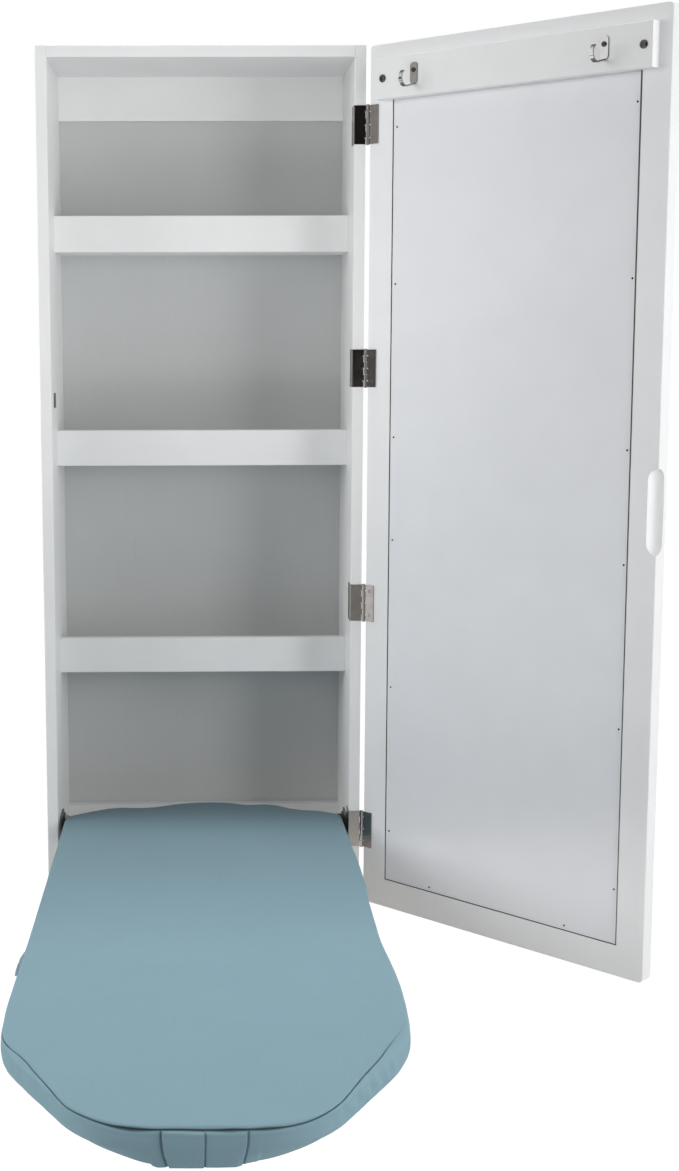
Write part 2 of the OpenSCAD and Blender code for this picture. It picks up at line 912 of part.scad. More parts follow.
// Rail of the door frame between the stiles, from z0 to z1, with a tongue at each end
module door_rail(z0, z1) {
    color(WHITE)
        on_door()
            difference() {
                union() {
                    intersection() {
                        door_blank();
                        box([-sight_x + glue_gap, -BIG, z0], [sight_x - glue_gap, BIG, z1]);
                    }
                    both_sides() tongue(z0, z1, 0);
                }
                door_opening();
                nail_set(run_gap);
            }
}

module door_top_rail() {
    door_rail(sight_high, door_high);
}

module door_bottom_rail() {
    door_rail(door_low, sight_low);
}

module mirror_glass() {
    x = half_w - stile_w - backing_step - mirror_fit;
    color([0.8, 0.85, 0.87])
        on_door()
            box(
                [-x, -door_gap - mirror_floor, door_low + door_foot_w + backing_step + mirror_fit],
                [
                    x,
                    -door_gap - mirror_floor + mirror_t,
                    door_high - door_head_w - backing_step - mirror_fit
                ]
            );
}

module backing_panel() {
    x = half_w - stile_w - backing_gap;
    color(BOARD_GREY)
        on_door()
            difference() {
                box(
                    [-x, -door_gap - backing_floor, door_low + door_foot_w + backing_gap],
                    [x, -door_gap - backing_sink, door_high - door_head_w - backing_gap]
                );
                nail_set(run_gap);
            }
}

module backing_nails() {
    color(STEEL) on_door() nail_set(0);
}

module hook_screw_set(hole) {
    for (x = hook_xs)
        translate([x, -door_gap + hook_rail_t + hook_t, hook_z0 + hook_screw_up])
            rotate([90, 0, 0])
                if (hole)
                    translate([0, 0, -1]) cylinder(r = hook_screw_r + run_gap, h = hook_screw_l + 1.5);
                else dome_screw(hook_screw_r, hook_screw_head_r, hook_screw_l);
}

module hook_rail() {
    color(WHITE)
        on_door()
            difference() {
                translate([hook_rail_x0, -door_gap, 0])
                    translate([0, 0, hook_rail_z0])
                        rotate([90, 0, 90])
                            linear_extrude(hook_rail_l)
                                union() {
                                    square([hook_rail_t - 2 * ease_r, hook_rail_h]);
                                    translate([hook_rail_t - 4 * ease_r, 0])
                                        rounded(4 * ease_r, hook_rail_h, ease_r);
                                }
                rail_screw_set(true);
                hook_screw_set(true);
            }
}

module hook_rail_screws() {
    color(NICKEL) on_door() rail_screw_set(false);
}

// Side view of a hook's strip, with X out from the rail: a lead from the plate's foot, then a round bend
module hook_bend() {
    mid_x = hook_reach - hook_t / 2 - hook_bend_r;
    mid_y = hook_bend_r - 3.5;
    lead_x = mid_x + hook_bend_r * cos(hook_lead_a);
    lead_y = mid_y + hook_bend_r * sin(hook_lead_a);
    lead_l = (lead_x - hook_t / 2) / cos(hook_lead_a + 90);
    translate([mid_x, mid_y]) {
        intersection() {
            difference() {
                circle(hook_bend_r + hook_t / 2);
                circle(hook_bend_r - hook_t / 2);
            }
            polygon(concat(
                [[0, 0]],
                [for (a = [hook_lead_a:15:hook_tip_a]) 3 * hook_bend_r * [cos(a), sin(a)]]
            ));
        }
        translate(hook_bend_r * [cos(hook_tip_a), sin(hook_tip_a)]) circle(hook_t / 2);
    }
    translate([lead_x, lead_y])
        rotate(hook_lead_a - 90)
            translate([-0.05, -hook_t / 2]) square([lead_l, hook_t]);
}

// Hook pressed from strip: a plate with round corners on the rail, and a narrow bent strip from its foot
module hook(i) {
    color(NICKEL)
        on_door()
            difference() {
                union() {
                    translate([hook_xs[i] - hook_w / 2, -door_gap + hook_rail_t + hook_t, hook_z0])
                        rotate([90, 0, 0]) linear_extrude(hook_t) rounded(hook_w, hook_h, hook_w / 2 - 0.5);
                    translate([hook_xs[i] - hook_strip_w / 2, -door_gap + hook_rail_t, hook_z0])
                        rotate([90, 0, 90]) linear_extrude(hook_strip_w) hook_bend();
                }
                hook_screw_set(true);
            }
}

module hook_screws() {
    color(NICKEL) on_door() hook_screw_set(false);
}

// ---- Board ----

// Board outline inset by i, from height z0 to z1 above the pivot
module board_slab(i, z0, z1) {
    translate([0, 0, z0]) linear_extrude(z1 - z0) polygon(board_outline(i));
}

module arm_screw_set(hole) {
    for (u = arm_screw_u)
        both_sides()
            translate([(flange_x0 + flange_x1) / 2, -u, deck_low - arm_t])
                if (hole) flush_hole(screw_r, screw_head_r, arm_screw_l);
                else flush_screw(screw_r, screw_head_r, arm_screw_l);
}

module ironing_deck() {
    color(BEECH)
        on_board()
            difference() {
                board_slab(deck_inset, deck_low, deck_top);
                arm_screw_set(true);
            }
}

module foam_pad() {
    color([0.92, 0.90, 0.84]) on_board() board_slab(pad_inset, pad_low, pad_top);
}

// Cloth cover: a top sheet with a skirt, cut short round the pivots and the tail
module board_cover() {
    color(CLOTH)
        on_board()
            difference() {
                union() {
                    board_slab(0, deck_low + soft_gap, cover_top);
                    intersection() {
                        board_slab(0, cover_low, cover_top);
                        box([-BIG, -BIG, -BIG], [BIG, -skirt_start, BIG]);
                    }
                }
                board_slab(cloth_t, cover_low - 1, cover_top - cloth_t);
            }
}

module hold_tab() {
    color(CLOTH)
        on_board()
            box(
                [-board_w / 2 - tab_reach, -tab_u - tab_l / 2, cover_top - 3.5],
                [-board_w / 2, -tab_u + tab_l / 2, cover_top - 3.5 + tab_t]
            );
}

module grip_patch() {
    y = pivot_back + cover_top - 5;
    z = pivot_z + tab_u;
    color(STEEL)
        box(
            [-inner_w, y - patch_l / 2, z - patch_h / 2],
            [-inner_w + patch_t, y + patch_l / 2, z + patch_h / 2]
        );
}

// ---- Board pivots, drawn at the right ----

// Steel arm: an upright ear with a heel, and a flange that carries the deck
module pivot_arm() {
    flange_low = deck_low - arm_t;
    difference() {
        union() {
            translate([arm_x0, 0, 0])
                rotate([90, 0, 90])
                    linear_extrude(arm_t)
                        union() {
                            translate([-ear_front, heel_low])
                                square([ear_front + ear_back, ear_top - heel_low - 4]);
                            translate([-ear_front, heel_low])
                                rounded(ear_front + ear_back, ear_top - heel_low, 4);
                            translate([-ear_front, heel_low])
                                rounded(ear_front + heel_l, heel_top - heel_low, 2);
                        }
            box([flange_x0, -ear_front, flange_low], [arm_x1, ear_back, deck_low]);
            box([flange_x0, -flange_l, flange_low], [flange_x1, ear_back, deck_low]);
        }
        translate([arm_x0 - 1, 0, 0]) rod_x(bush_r + 0.03, arm_t + 2);
        arm_screw_set(true);
    }
}

module pivot_arm_right() {
    color(STEEL) on_board() pivot_arm();
}

module pivot_arm_left() {
    color(STEEL) on_board() mirror([1, 0, 0]) pivot_arm();
}

module arm_screws() {
    color(NICKEL) on_board() arm_screw_set(false);
}

module pivot_bushes() {
    color([0.85, 0.85, 0.82])
        on_board()
            both_sides()
                difference() {
                    union() {
                        translate([arm_x0, 0, 0]) rod_x(bush_r, arm_t + bush_flange_t);
                        translate([arm_x1, 0, 0]) rod_x(bush_flange_r, bush_flange_t);
                    }
                    translate([arm_x0 - 1, 0, 0]) rod_x(stud_r + run_gap, arm_t + 3);
                }
}

module pivot_plate() {
    difference() {
        translate([plate_x, plate_front, plate_low])
            rotate([90, 0, 90]) linear_extrude(plate_t) rounded(plate_l, plate_high - plate_low, 4);
        plate_screw_set(true);
    }
}

module pivot_plate_right() {
    color(STEEL) pivot_plate();
}

module pivot_plate_left() {
    color(STEEL) mirror([1, 0, 0]) pivot_plate();
}

module plate_screws() {
    color(NICKEL) plate_screw_set(false);
}

module pivot_studs() {
    end_x = arm_x0 - nut_gap - nut_t - 1.2;
    color(STEEL)
        both_sides()
            translate([end_x, pivot_back, pivot_z]) rod_x(stud_r, plate_x - end_x);
}

module pivot_nuts() {
    color([0.16, 0.16, 0.16])
        on_board()
            both_sides()
                difference() {
                    translate([arm_x0 - nut_gap - nut_t, 0, 0])
                        rotate([0, 90, 0]) cylinder(r = nut_flat / 2 / cos(30), h = nut_t, $fn = 6);
                    translate([arm_x0 - nut_gap - nut_t - 1, 0, 0]) rod_x(stud_r + 0.02, nut_t + 2);
                }
}

module stop_studs() {
    color(STEEL)
        on_board()
            both_sides()
                translate([plate_x - stop_l, -stop_u, stop_h]) rod_x(stop_r, stop_l);
}

in_frame() side_left();
in_frame() side_right();
in_frame() top_panel();
in_frame() bottom_panel();
in_frame() back_panel();
in_frame() top_rail();
in_frame() bottom_rail();
in_frame() shelf(0);  // shelf_1
in_frame() shelf(1);  // shelf_2
in_frame() shelf(2);  // shelf_3
in_frame() lip(0);  // lip_1
in_frame() lip(1);  // lip_2
in_frame() lip(2);  // lip_3
in_frame() dowels();
in_frame() back_pins();
in_frame() hanger_plates();
in_frame() hanger_screws();
in_frame() cabinet_leaf(0);  // cabinet_leaf_1
in_frame() cabinet_leaf(1);  // cabinet_leaf_2
in_frame() cabinet_leaf(2);  // cabinet_leaf_3
in_frame() cabinet_leaf(3);  // cabinet_leaf_4
in_frame() hinge_pins();
in_frame() cabinet_leaf_screws();
in_frame() pivot_plate_left();
in_frame() pivot_plate_right();
in_frame() pivot_studs();
in_frame() pivot_nuts();
in_frame() stop_studs();
in_frame() plate_screws();
in_frame() grip_patch();
in_frame() hinge_stile();
in_frame() pull_stile();
in_frame() door_top_rail();
in_frame() door_bottom_rail();
in_frame() mirror_glass();
in_frame() backing_panel();
in_frame() backing_nails();
in_frame() hook_rail();
in_frame() hook_rail_screws();
in_frame() hook(0);  // hook_1
in_frame() hook(1);  // hook_2
in_frame() hook_screws();
in_frame() door_leaf(0);  // door_leaf_1
in_frame() door_leaf(1);  // door_leaf_2
in_frame() door_leaf(2);  // door_leaf_3
in_frame() door_leaf(3);  // door_leaf_4
in_frame() door_leaf_screws();
in_frame() ironing_deck();
in_frame() foam_pad();
in_frame() board_cover();
in_frame() hold_tab();
in_frame() pivot_arm_left();
in_frame() pivot_arm_right();
in_frame() arm_screws();
in_frame() pivot_bushes();
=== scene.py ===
# %% [markdown]
# # A wall cabinet with a mirror door and a fold-down ironing board
#
# The cabinet, its door, hinges and metal fittings come ready made as exact solids. This lesson
# adds what solids can't give: the padded cloth cover, the pad under it, the small cloth pieces,
# a finish for every surface, and the light and camera of the photograph. Each cell makes one
# thing and prints what it made. All lengths are in metres, with X to the right, Y into the wall
# and Z up.

# %% Load the finished solids
import json

import bmesh
import bpy
import numpy as np
from mathutils import Matrix, Vector


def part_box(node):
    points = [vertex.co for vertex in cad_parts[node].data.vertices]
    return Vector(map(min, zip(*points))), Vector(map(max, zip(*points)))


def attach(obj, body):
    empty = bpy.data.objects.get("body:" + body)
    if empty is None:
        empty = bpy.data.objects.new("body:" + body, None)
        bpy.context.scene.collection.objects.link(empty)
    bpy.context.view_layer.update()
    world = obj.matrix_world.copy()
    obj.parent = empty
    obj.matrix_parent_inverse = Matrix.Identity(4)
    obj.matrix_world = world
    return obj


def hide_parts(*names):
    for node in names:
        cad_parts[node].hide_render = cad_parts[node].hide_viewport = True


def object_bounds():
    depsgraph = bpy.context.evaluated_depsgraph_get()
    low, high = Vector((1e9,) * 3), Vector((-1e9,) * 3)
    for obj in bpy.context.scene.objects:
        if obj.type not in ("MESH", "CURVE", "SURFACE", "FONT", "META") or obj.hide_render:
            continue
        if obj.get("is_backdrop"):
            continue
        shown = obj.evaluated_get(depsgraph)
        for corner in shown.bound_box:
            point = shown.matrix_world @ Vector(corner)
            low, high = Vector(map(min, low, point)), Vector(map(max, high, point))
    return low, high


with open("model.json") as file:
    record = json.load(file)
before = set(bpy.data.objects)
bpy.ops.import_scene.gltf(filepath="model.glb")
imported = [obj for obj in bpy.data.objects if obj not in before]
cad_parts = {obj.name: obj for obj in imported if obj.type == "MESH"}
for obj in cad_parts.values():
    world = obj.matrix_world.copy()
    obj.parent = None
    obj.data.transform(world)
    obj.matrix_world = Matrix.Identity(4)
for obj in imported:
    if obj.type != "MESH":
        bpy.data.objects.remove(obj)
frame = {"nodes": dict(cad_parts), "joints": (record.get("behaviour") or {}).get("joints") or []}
solid_low, solid_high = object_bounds()
solids = frame["nodes"]
joints = {joint["name"]: joint for joint in frame["joints"]}
print(len(solids), "solids from", [round(v, 4) for v in solid_low], "to", [round(v, 4) for v in solid_high])

# %% [markdown]
# ## The camera
#
# A camera can be placed by eye or worked out. Here it was worked out from the photograph: the
# cabinet's straight edges fix where the lens stood, how it was turned, and how long it is. The
# picture was cropped off centre, which the two shifts repeat. The turn is given as three angles:
# about the upright axis, then the tip up from straight down, then a slight roll.

# %% Camera
IMAGE_W, IMAGE_H = 679, 1171
FOCAL_PX = 1646.84
AXIS_PX = (217.82, 545.50)
LENS_PLACE = (0.0011, -2.1209, -0.2799)
YAW, TIP, ROLL = -0.5045, 82.4043, -0.1487

lens = bpy.data.cameras.new("lens")
lens.sensor_width = 36.0
lens.lens = FOCAL_PX / IMAGE_H * lens.sensor_width
lens.shift_x = (IMAGE_W / 2 - AXIS_PX[0]) / IMAGE_H
lens.shift_y = (AXIS_PX[1] - IMAGE_H / 2) / IMAGE_H
lens.clip_start, lens.clip_end = 0.05, 60.0
camera = bpy.data.objects.new("camera", lens)
bpy.context.scene.collection.objects.link(camera)
turn = Matrix.Rotation(np.radians(YAW), 4, "Z") @ Matrix.Rotation(np.radians(TIP), 4, "X")
turn = turn @ Matrix.Rotation(np.radians(ROLL), 4, "Z")
camera.matrix_world = Matrix.Translation(LENS_PLACE) @ turn
bpy.context.scene.camera = camera
print("lens", round(lens.lens, 2), "mm, shift", round(lens.shift_x, 4), round(lens.shift_y, 4))

# %% [markdown]
# ## A small language for finishes
#
# A finish is a tree of shader nodes. Drawn by hand it is a wall of boxes. Written as sums it is
# short, so one class stands for an output socket and lets `+`, `-`, `*` and `/` add Math nodes,
# and one method adds any other node. Colours and vectors don't go through Math nodes, which
# would turn them grey, but through Mix and Vector Math.


# %% Wires and finishes
class Wire:
    """An output socket of a finish. Arithmetic on it adds Math nodes."""

    def __init__(self, finish, socket):
        self.finish, self.socket = finish, socket

    def math(self, operation, *values):
        return self.finish.add("ShaderNodeMath", {"operation": operation}, values)

    def __add__(self, other):
        return self.math("ADD", self, other)

    def __radd__(self, other):
        return self.math("ADD", other, self)

    def __sub__(self, other):
        return self.math("SUBTRACT", self, other)

    def __rsub__(self, other):
        return self.math("SUBTRACT", other, self)

    def __mul__(self, other):
        return self.math("MULTIPLY", self, other)

    def __rmul__(self, other):
        return self.math("MULTIPLY", other, self)

    def __truediv__(self, other):
        return self.math("DIVIDE", self, other)

    def __abs__(self):
        return self.math("ABSOLUTE", self)

    def wave(self, length):
        """Sine of this value, once round for each length."""
        return self.math("SINE", self * (2 * np.pi / length))

    def step(self, low, high):
        """0 below low, 1 above high, and a smooth rise between them."""
        settings = {"interpolation_type": "SMOOTHSTEP"}
        values = {"Value": self, "From Min": low, "From Max": high}
        return self.finish.add("ShaderNodeMapRange", settings, values)


class Finish:
    """A material in the making: a Principled shader, and one method that adds any other node."""

    def __init__(self, name, **values):
        self.material = bpy.data.materials.new(name)
        self.material.use_nodes = True
        tree = self.material.node_tree
        self.nodes, self.links = tree.nodes, tree.links
        self.nodes.clear()
        self.shader = self.nodes.new("ShaderNodeBsdfPrincipled")
        self.links.new(self.shader.outputs[0], self.nodes.new("ShaderNodeOutputMaterial").inputs[0])
        self.finish(**values)

    def feed(self, node, values):
        """Fills input sockets: a wire is linked, and anything else is set as the socket's value."""
        pairs = values.items() if isinstance(values, dict) else enumerate(values)
        for key, value in pairs:
            socket = node.inputs[key]
            if isinstance(value, Wire):
                self.links.new(value.socket, socket)
            elif socket.type == "RGBA" and len(value) == 3:
                socket.default_value = (*value, 1.0)
            else:
                socket.default_value = value

    def add(self, kind, settings=None, values=(), output=0):
        node = self.nodes.new(kind)
        for key, value in (settings or {}).items():
            setattr(node, key, value)
        self.feed(node, values)
        return Wire(self, node.outputs[output])

    def place(self):
        """Where each point is in the object's own space, in metres."""
        return self.add("ShaderNodeTexCoord", output="Object")

    def split(self, vector, axis):
        return self.add("ShaderNodeSeparateXYZ", None, (vector,), output=axis)

    def stretched(self, vector, scale):
        return self.add("ShaderNodeMapping", None, {"Vector": vector, "Scale": scale})

    def noise(self, vector, size, detail=2.0, roughness=0.5):
        """Cloudy noise from 0 to 1, whose lumps are about as large as size."""
        values = {"Vector": vector, "Scale": 1.0 / size, "Detail": detail, "Roughness": roughness}
        return self.add("ShaderNodeTexNoise", None, values)

    def blend(self, share, first, second):
        """The first colour where share is 0 and the second where it is 1."""
        return self.add("ShaderNodeMix", {"data_type": "RGBA"}, {0: share, 6: first, 7: second}, output=2)

    def relief(self, height, depth, strength=1.0):
        """Bumps: height is a wire from 0 to about 1, and depth is how deep that is, in metres."""
        values = {"Height": height, "Distance": depth, "Strength": strength}
        return self.add("ShaderNodeBump", None, values)

    def finish(self, **values):
        """Feeds the shader's sockets, with _ for each space in their names, and hands over the material."""
        self.feed(self.shader, {key.replace("_", " "): value for key, value in values.items()})
        return self.material


def wear(material, *names):
    """Puts a material on ready-made solids."""
    for name in names:
        slots = solids[name].data.materials
        slots.clear()
        slots.append(material)


print("finishes can be written as sums now")

# %% [markdown]
# ## White sprayed board
#
# The panels are fibreboard with a sprayed satin lacquer. From a step away it is plain white.
# Close up, lacquer has a fine orange peel, a slow drift in tone where the coat is thicker, and a
# few duller patches. Two noises drive the tone, a third the gloss and a fourth, much finer, the
# relief. Rails, stiles and panels come from different boards, so each gets its own tone.
#
# The step that the door's backing panel lies in is cut after spraying, so it is raw board. Its
# colour is near black, raw board with painted shade for the narrow gap, and shows as a dark line
# round the panel. The step is a box in the door's own place, so the finish turns each point back
# to where it would be with the door shut, and asks if it is inside. By the pull stile the gap
# shows wider: there a strip of the panel's face is painted dark as painted shadow of the gap, a
# little wider at the top.


# %% White lacquer
RAW_BOARD_AND_GAP_SHADE = (0.05, 0.042, 0.036)
DOOR_SHUT = np.radians(-136.0)


def shut_place(made):
    """Where each point would be with the door shut."""
    values = {"Vector": made.place(), "Center": tuple(joints["door_hinge"]["pos_m"]), "Angle": DOOR_SHUT}
    return made.add("ShaderNodeVectorRotate", {"rotation_type": "Z_AXIS"}, values)


def rebate_raw_and_painted_shade(made, colour, low, high):
    """Turns the colour near black inside a box given in the shut door's own place: raw board with painted
    shade.
    """
    at = shut_place(made)
    inside = 1.0
    for axis, start, end in zip("XYZ", low, high):
        value = made.split(at, axis)
        above = value.math("GREATER_THAN", value, start)
        inside = above * value.math("LESS_THAN", value, end) * inside
    return made.blend(inside, colour, RAW_BOARD_AND_GAP_SHADE)


def gap_shadow_strip(made, colour, edge, bottom, top):
    """Paints a strip of painted shadow 1.2 mm wide along the edge, and 2 mm wide at the top, for the shaded
    gap beside the panel.
    """
    at = shut_place(made)
    rise = (made.split(at, "Z") - bottom) / (top - bottom)
    gap_shadow = (edge + 0.0012 + rise * 0.0008 - made.split(at, "X")).step(0.0, 0.0002)
    return made.blend(gap_shadow, colour, RAW_BOARD_AND_GAP_SHADE)


def lacquer(name, tone, gloss=0.42, peel=0.00004, rebate=None, gap_shadow=None):
    made = Finish(name, IOR=1.46)
    place = made.place()
    drift = made.noise(place, 0.35, 2.0) * 0.6 + made.noise(place, 0.05, 3.0) * 0.4
    dull = tuple(value * 0.962 for value in tone)
    colour = made.blend(drift.step(0.35, 0.65), tone, dull)
    specks = made.noise(place, 0.0011, 1.0).step(0.74, 0.8) * 0.05
    colour = made.blend(specks, colour, (0.35, 0.34, 0.32))
    # Painted shade: the rebate is raw board painted near black, and by the pull stile a strip of painted
    # shadow.
    if rebate is not None:
        colour = rebate_raw_and_painted_shade(made, colour, *rebate)
    if gap_shadow is not None:
        colour = gap_shadow_strip(made, colour, *gap_shadow)
    patches = made.noise(place, 0.12, 3.0)
    relief = made.noise(place, 0.0024, 2.0) + made.noise(place, 0.03, 2.0) * 1.5
    return made.finish(
        Base_Color=colour,
        Roughness=gloss + 0.12 * patches.step(0.3, 0.7),
        Normal=made.relief(relief, peel),
    )


white_side = lacquer("white_lacquer_sides", (0.84, 0.843, 0.84))
white_panel = lacquer("white_lacquer_panels", (0.835, 0.84, 0.84))
white_lip = lacquer("white_lacquer_lips", (0.845, 0.85, 0.85), gloss=0.38)
hinge = np.array(joints["door_hinge"]["pos_m"])
panel = np.array([corner.co for corner in solids["backing_panel"].data.vertices]) - hinge
panel = panel @ np.array(Matrix.Rotation(DOOR_SHUT, 3, "Z")).T + hinge
panel_low, panel_high = panel.min(axis=0), panel.max(axis=0)
rebate = panel_low - (0.0011, 0.010, 0.0011), panel_high + (0.0011, 0.0005, 0.0011)
white_door = lacquer("white_lacquer_door", (0.84, 0.845, 0.85), gloss=0.36, rebate=rebate)
gap_shadow = (panel_low[0], panel_low[2], panel_high[2])
white_backing = lacquer("white_coated_backing", (0.79, 0.80, 0.825), 0.33, 0.00002, gap_shadow=gap_shadow)
wear(white_side, "side_left", "side_right")
wear(white_panel, "top_panel", "bottom_panel", "top_rail", "bottom_rail", "shelf_1", "shelf_2", "shelf_3")
wear(white_lip, "lip_1", "lip_2", "lip_3", "hook_rail")
wear(white_door, "hinge_stile", "pull_stile", "door_top_rail", "door_bottom_rail")
wear(white_backing, "backing_panel")
print("white lacquer on 18 solids")

# %% [markdown]
# ## Grey hardboard
#
# The thin back panel is hardboard with a printed pale grey coat. It is duller than the lacquer,
# with the faint felt pattern of pressed fibre. A stretched noise gives the coat's rolled streaks.

# %% Grey hardboard
hardboard = Finish("grey_coated_hardboard", IOR=1.45)
place = hardboard.place()
streaks = hardboard.noise(hardboard.stretched(place, (1.0, 1.0, 0.06)), 0.004, 3.0)
clouds = hardboard.noise(place, 0.18, 3.0)
mottle = streaks * 0.25 + clouds * 0.75
tone = hardboard.blend(mottle.step(0.3, 0.7), (0.58, 0.59, 0.59), (0.555, 0.565, 0.565))
felt = hardboard.noise(place, 0.0016, 3.0) + streaks * 0.5
wear(
    hardboard.finish(Base_Color=tone, Roughness=0.5 + 0.1 * clouds, Normal=hardboard.relief(felt, 0.00005)),
    "back_panel",
)

# %% [markdown]
# ## Metal
#
# Hinges, hooks and screws are nickel plated and satin: a metal takes its look from what it
# reflects, so its own pattern stays faint. Fine brushing runs along the leaf, and handling leaves
# soft cloudy patches in the gloss. A round wire mirrors a dark room at its sides, so the nickel's
# colour is painted dark where it is seen at a glance: a painted reflection. The screws of the hook
# rail and hooks are dark all over.
#
# The board's arms are black finished steel, which is painted and so is hardly a metal to the
# shader, with bare steel where it is rubbed. The nails of the door's backing panel are blued. The
# arms' plates on the side panels are dull grey zinc. The two lock nuts differ: black at the
# right, pale at the left.


# %% Nickel
def nickel(name, tone, gloss, brushing=(1.0, 1.0, 14.0), rim=(0.45, 0.85)):
    """Plated metal. Its colour is painted dark, a painted reflection, from the first rim value to the second,
    where 1 is seen edge on.
    """
    made = Finish(name, Metallic=1.0)
    place = made.place()
    brush = made.noise(made.stretched(place, brushing), 0.003, 3.0, 0.6)
    hand = made.noise(place, 0.009, 3.0)
    colour = made.blend(hand.step(0.3, 0.75), tone, tuple(value * 0.9 for value in tone))
    # Painted reflection: the colour darkens where the metal is seen edge on.
    glance = made.add("ShaderNodeLayerWeight", output="Facing")
    colour = made.blend(glance.step(*rim), colour, tuple(value * 0.07 for value in tone))
    return made.finish(
        Base_Color=colour,
        Roughness=gloss + 0.04 * brush + 0.05 * hand.step(0.4, 0.8),
        Normal=made.relief(brush, 0.000004),
    )


satin_nickel = nickel("satin_nickel", (0.45, 0.425, 0.405), 0.14)
bright_nickel = nickel("bright_nickel", (0.66, 0.655, 0.64), 0.07, (1.0, 1.0, 1.0), (0.18, 0.6))
screw_nickel = nickel("screw_nickel", (0.45, 0.43, 0.41), 0.16, (6.0, 6.0, 6.0))
dark_nickel = nickel("dark_nickel", (0.12, 0.115, 0.11), 0.2, (6.0, 6.0, 6.0))
for i in range(1, 5):
    wear(satin_nickel, f"cabinet_leaf_{i}", f"door_leaf_{i}")
wear(satin_nickel, "hinge_pins", "hanger_plates")
wear(bright_nickel, "hook_1", "hook_2")
wear(screw_nickel, "hanger_screws", "cabinet_leaf_screws", "door_leaf_screws", "plate_screws")
wear(screw_nickel, "arm_screws", "back_pins")
wear(dark_nickel, "hook_rail_screws", "hook_screws")
print("nickel on 20 solids")

# %% Black steel, blued nails, zinc and nuts
black_steel = Finish("black_steel", IOR=1.5)
place = black_steel.place()
rubbed = black_steel.noise(place, 0.009, 4.0, 0.65).step(0.62, 0.75)
colour = black_steel.blend(rubbed, (0.022, 0.022, 0.024), (0.09, 0.088, 0.085))
grit = black_steel.noise(place, 0.0007, 2.0)
wear(
    black_steel.finish(
        Base_Color=colour,
        Metallic=rubbed * 0.6,
        Roughness=0.42 + 0.15 * grit,
        Normal=black_steel.relief(grit, 0.00003),
    ),
    "pivot_arm_left", "pivot_arm_right", "pivot_studs", "stop_studs",
)
blued = Finish("blued_nails", IOR=1.4, Specular_IOR_Level=0.2)
temper = blued.noise(blued.place(), 0.0006, 2.0)
blue_black = blued.blend(temper, (0.012, 0.012, 0.014), (0.03, 0.03, 0.034))
wear(blued.finish(Base_Color=blue_black, Roughness=0.6 + 0.2 * temper), "backing_nails")
zinc = Finish("grey_zinc", IOR=1.5)
place = zinc.place()
spangle = zinc.noise(place, 0.004, 2.0, 0.6)
wear(
    zinc.finish(
        Base_Color=zinc.blend(spangle.step(0.35, 0.65), (0.13, 0.145, 0.145), (0.19, 0.205, 0.2)),
        Metallic=0.35,
        Roughness=0.45 + 0.2 * spangle,
        Normal=zinc.relief(spangle, 0.00002),
    ),
    "pivot_plate_left", "pivot_plate_right",
)
nuts = Finish("nuts", IOR=1.5)
place = nuts.place()
grit = nuts.noise(place, 0.0012, 2.0)
across = nuts.split(place, "X")
left = across.math("LESS_THAN", across, 0.0)
wear(
    nuts.finish(
        Base_Color=nuts.blend(left, (0.02, 0.02, 0.022), (0.36, 0.35, 0.28)),
        Roughness=0.4 + 0.2 * grit,
        Normal=nuts.relief(grit, 0.00002),
    ),
    "pivot_nuts",
)
print("dark metal on 8 solids")

# %% [markdown]
# ## Mirror, wood and nylon
#
# The mirror is a metal surface with almost no roughness; real ones carry faint wiping marks,
# which only change the gloss. The deck and dowels are plain beech-like wood: growth rings are
# bent planes, so a wave along one axis is pushed about by a slow noise, and short dark flecks
# run with the grain. The bushes are natural nylon.

# %% Mirror
mirror = Finish("silvered_glass", Metallic=1.0)
place = mirror.place()
wiped = mirror.noise(mirror.stretched(place, (1.0, 1.0, 0.25)), 0.05, 3.0)
tint = mirror.blend(wiped, (0.9, 0.92, 0.92), (0.88, 0.905, 0.9))
wear(mirror.finish(Base_Color=tint, Roughness=0.012 + 0.02 * wiped.step(0.5, 0.8)), "mirror_glass")


# %% Wood and nylon
def wood(name, along):
    """Rings: a wave across the grain, pushed about by noise. Flecks: noise drawn out along it."""
    made = Finish(name, IOR=1.45)
    place = made.place()
    drawn = made.stretched(place, along)
    push = made.noise(drawn, 0.05, 3.0)
    rings = (made.split(place, "X") + push * 0.05).wave(0.011) * 0.5 + 0.5
    fine = made.stretched(place, tuple(value * 6.0 for value in along))
    flecks = made.noise(fine, 0.012, 2.0).step(0.6, 0.72)
    colour = made.blend(rings * 0.6, (0.56, 0.40, 0.24), (0.44, 0.295, 0.165))
    colour = made.blend(flecks * 0.5, colour, (0.28, 0.17, 0.09))
    return made.finish(
        Base_Color=colour,
        Roughness=0.55 + 0.15 * push,
        Normal=made.relief(rings * 0.5 + flecks, 0.00006),
    )


wear(wood("deck_wood", (1.0, 0.08, 1.0)), "ironing_deck")
wear(wood("dowel_wood", (0.2, 1.0, 1.0)), "dowels")

nylon = Finish("natural_nylon", IOR=1.53, Subsurface_Weight=0.1)
place = nylon.place()
milky = nylon.noise(place, 0.003, 3.0)
wear(
    nylon.finish(
        Base_Color=nylon.blend(milky, (0.62, 0.57, 0.46), (0.5, 0.45, 0.35)),
        Roughness=0.35 + 0.2 * milky,
        Normal=nylon.relief(milky, 0.00004),
    ),
    "pivot_bushes",
)
print("mirror, deck, dowels and bushes are finished")

# %% [markdown]
# ## The board's own space
#
# The cover and pad belong to the board, so they are worked out in the board's space: X across,
# u along it from the pivot towards the nose, h up from the pivot. The pivot is the board joint's
# own point, so the cloth sits where the solids are.

# %% From the board's space to the room
TILT = np.radians(1.5)
PIVOT = np.array(joints["board_fold"]["pos_m"])
HALF_W, NOSE_U, TAIL_U = 0.170, 0.857, -0.050
TAIL_RISE = 0.062


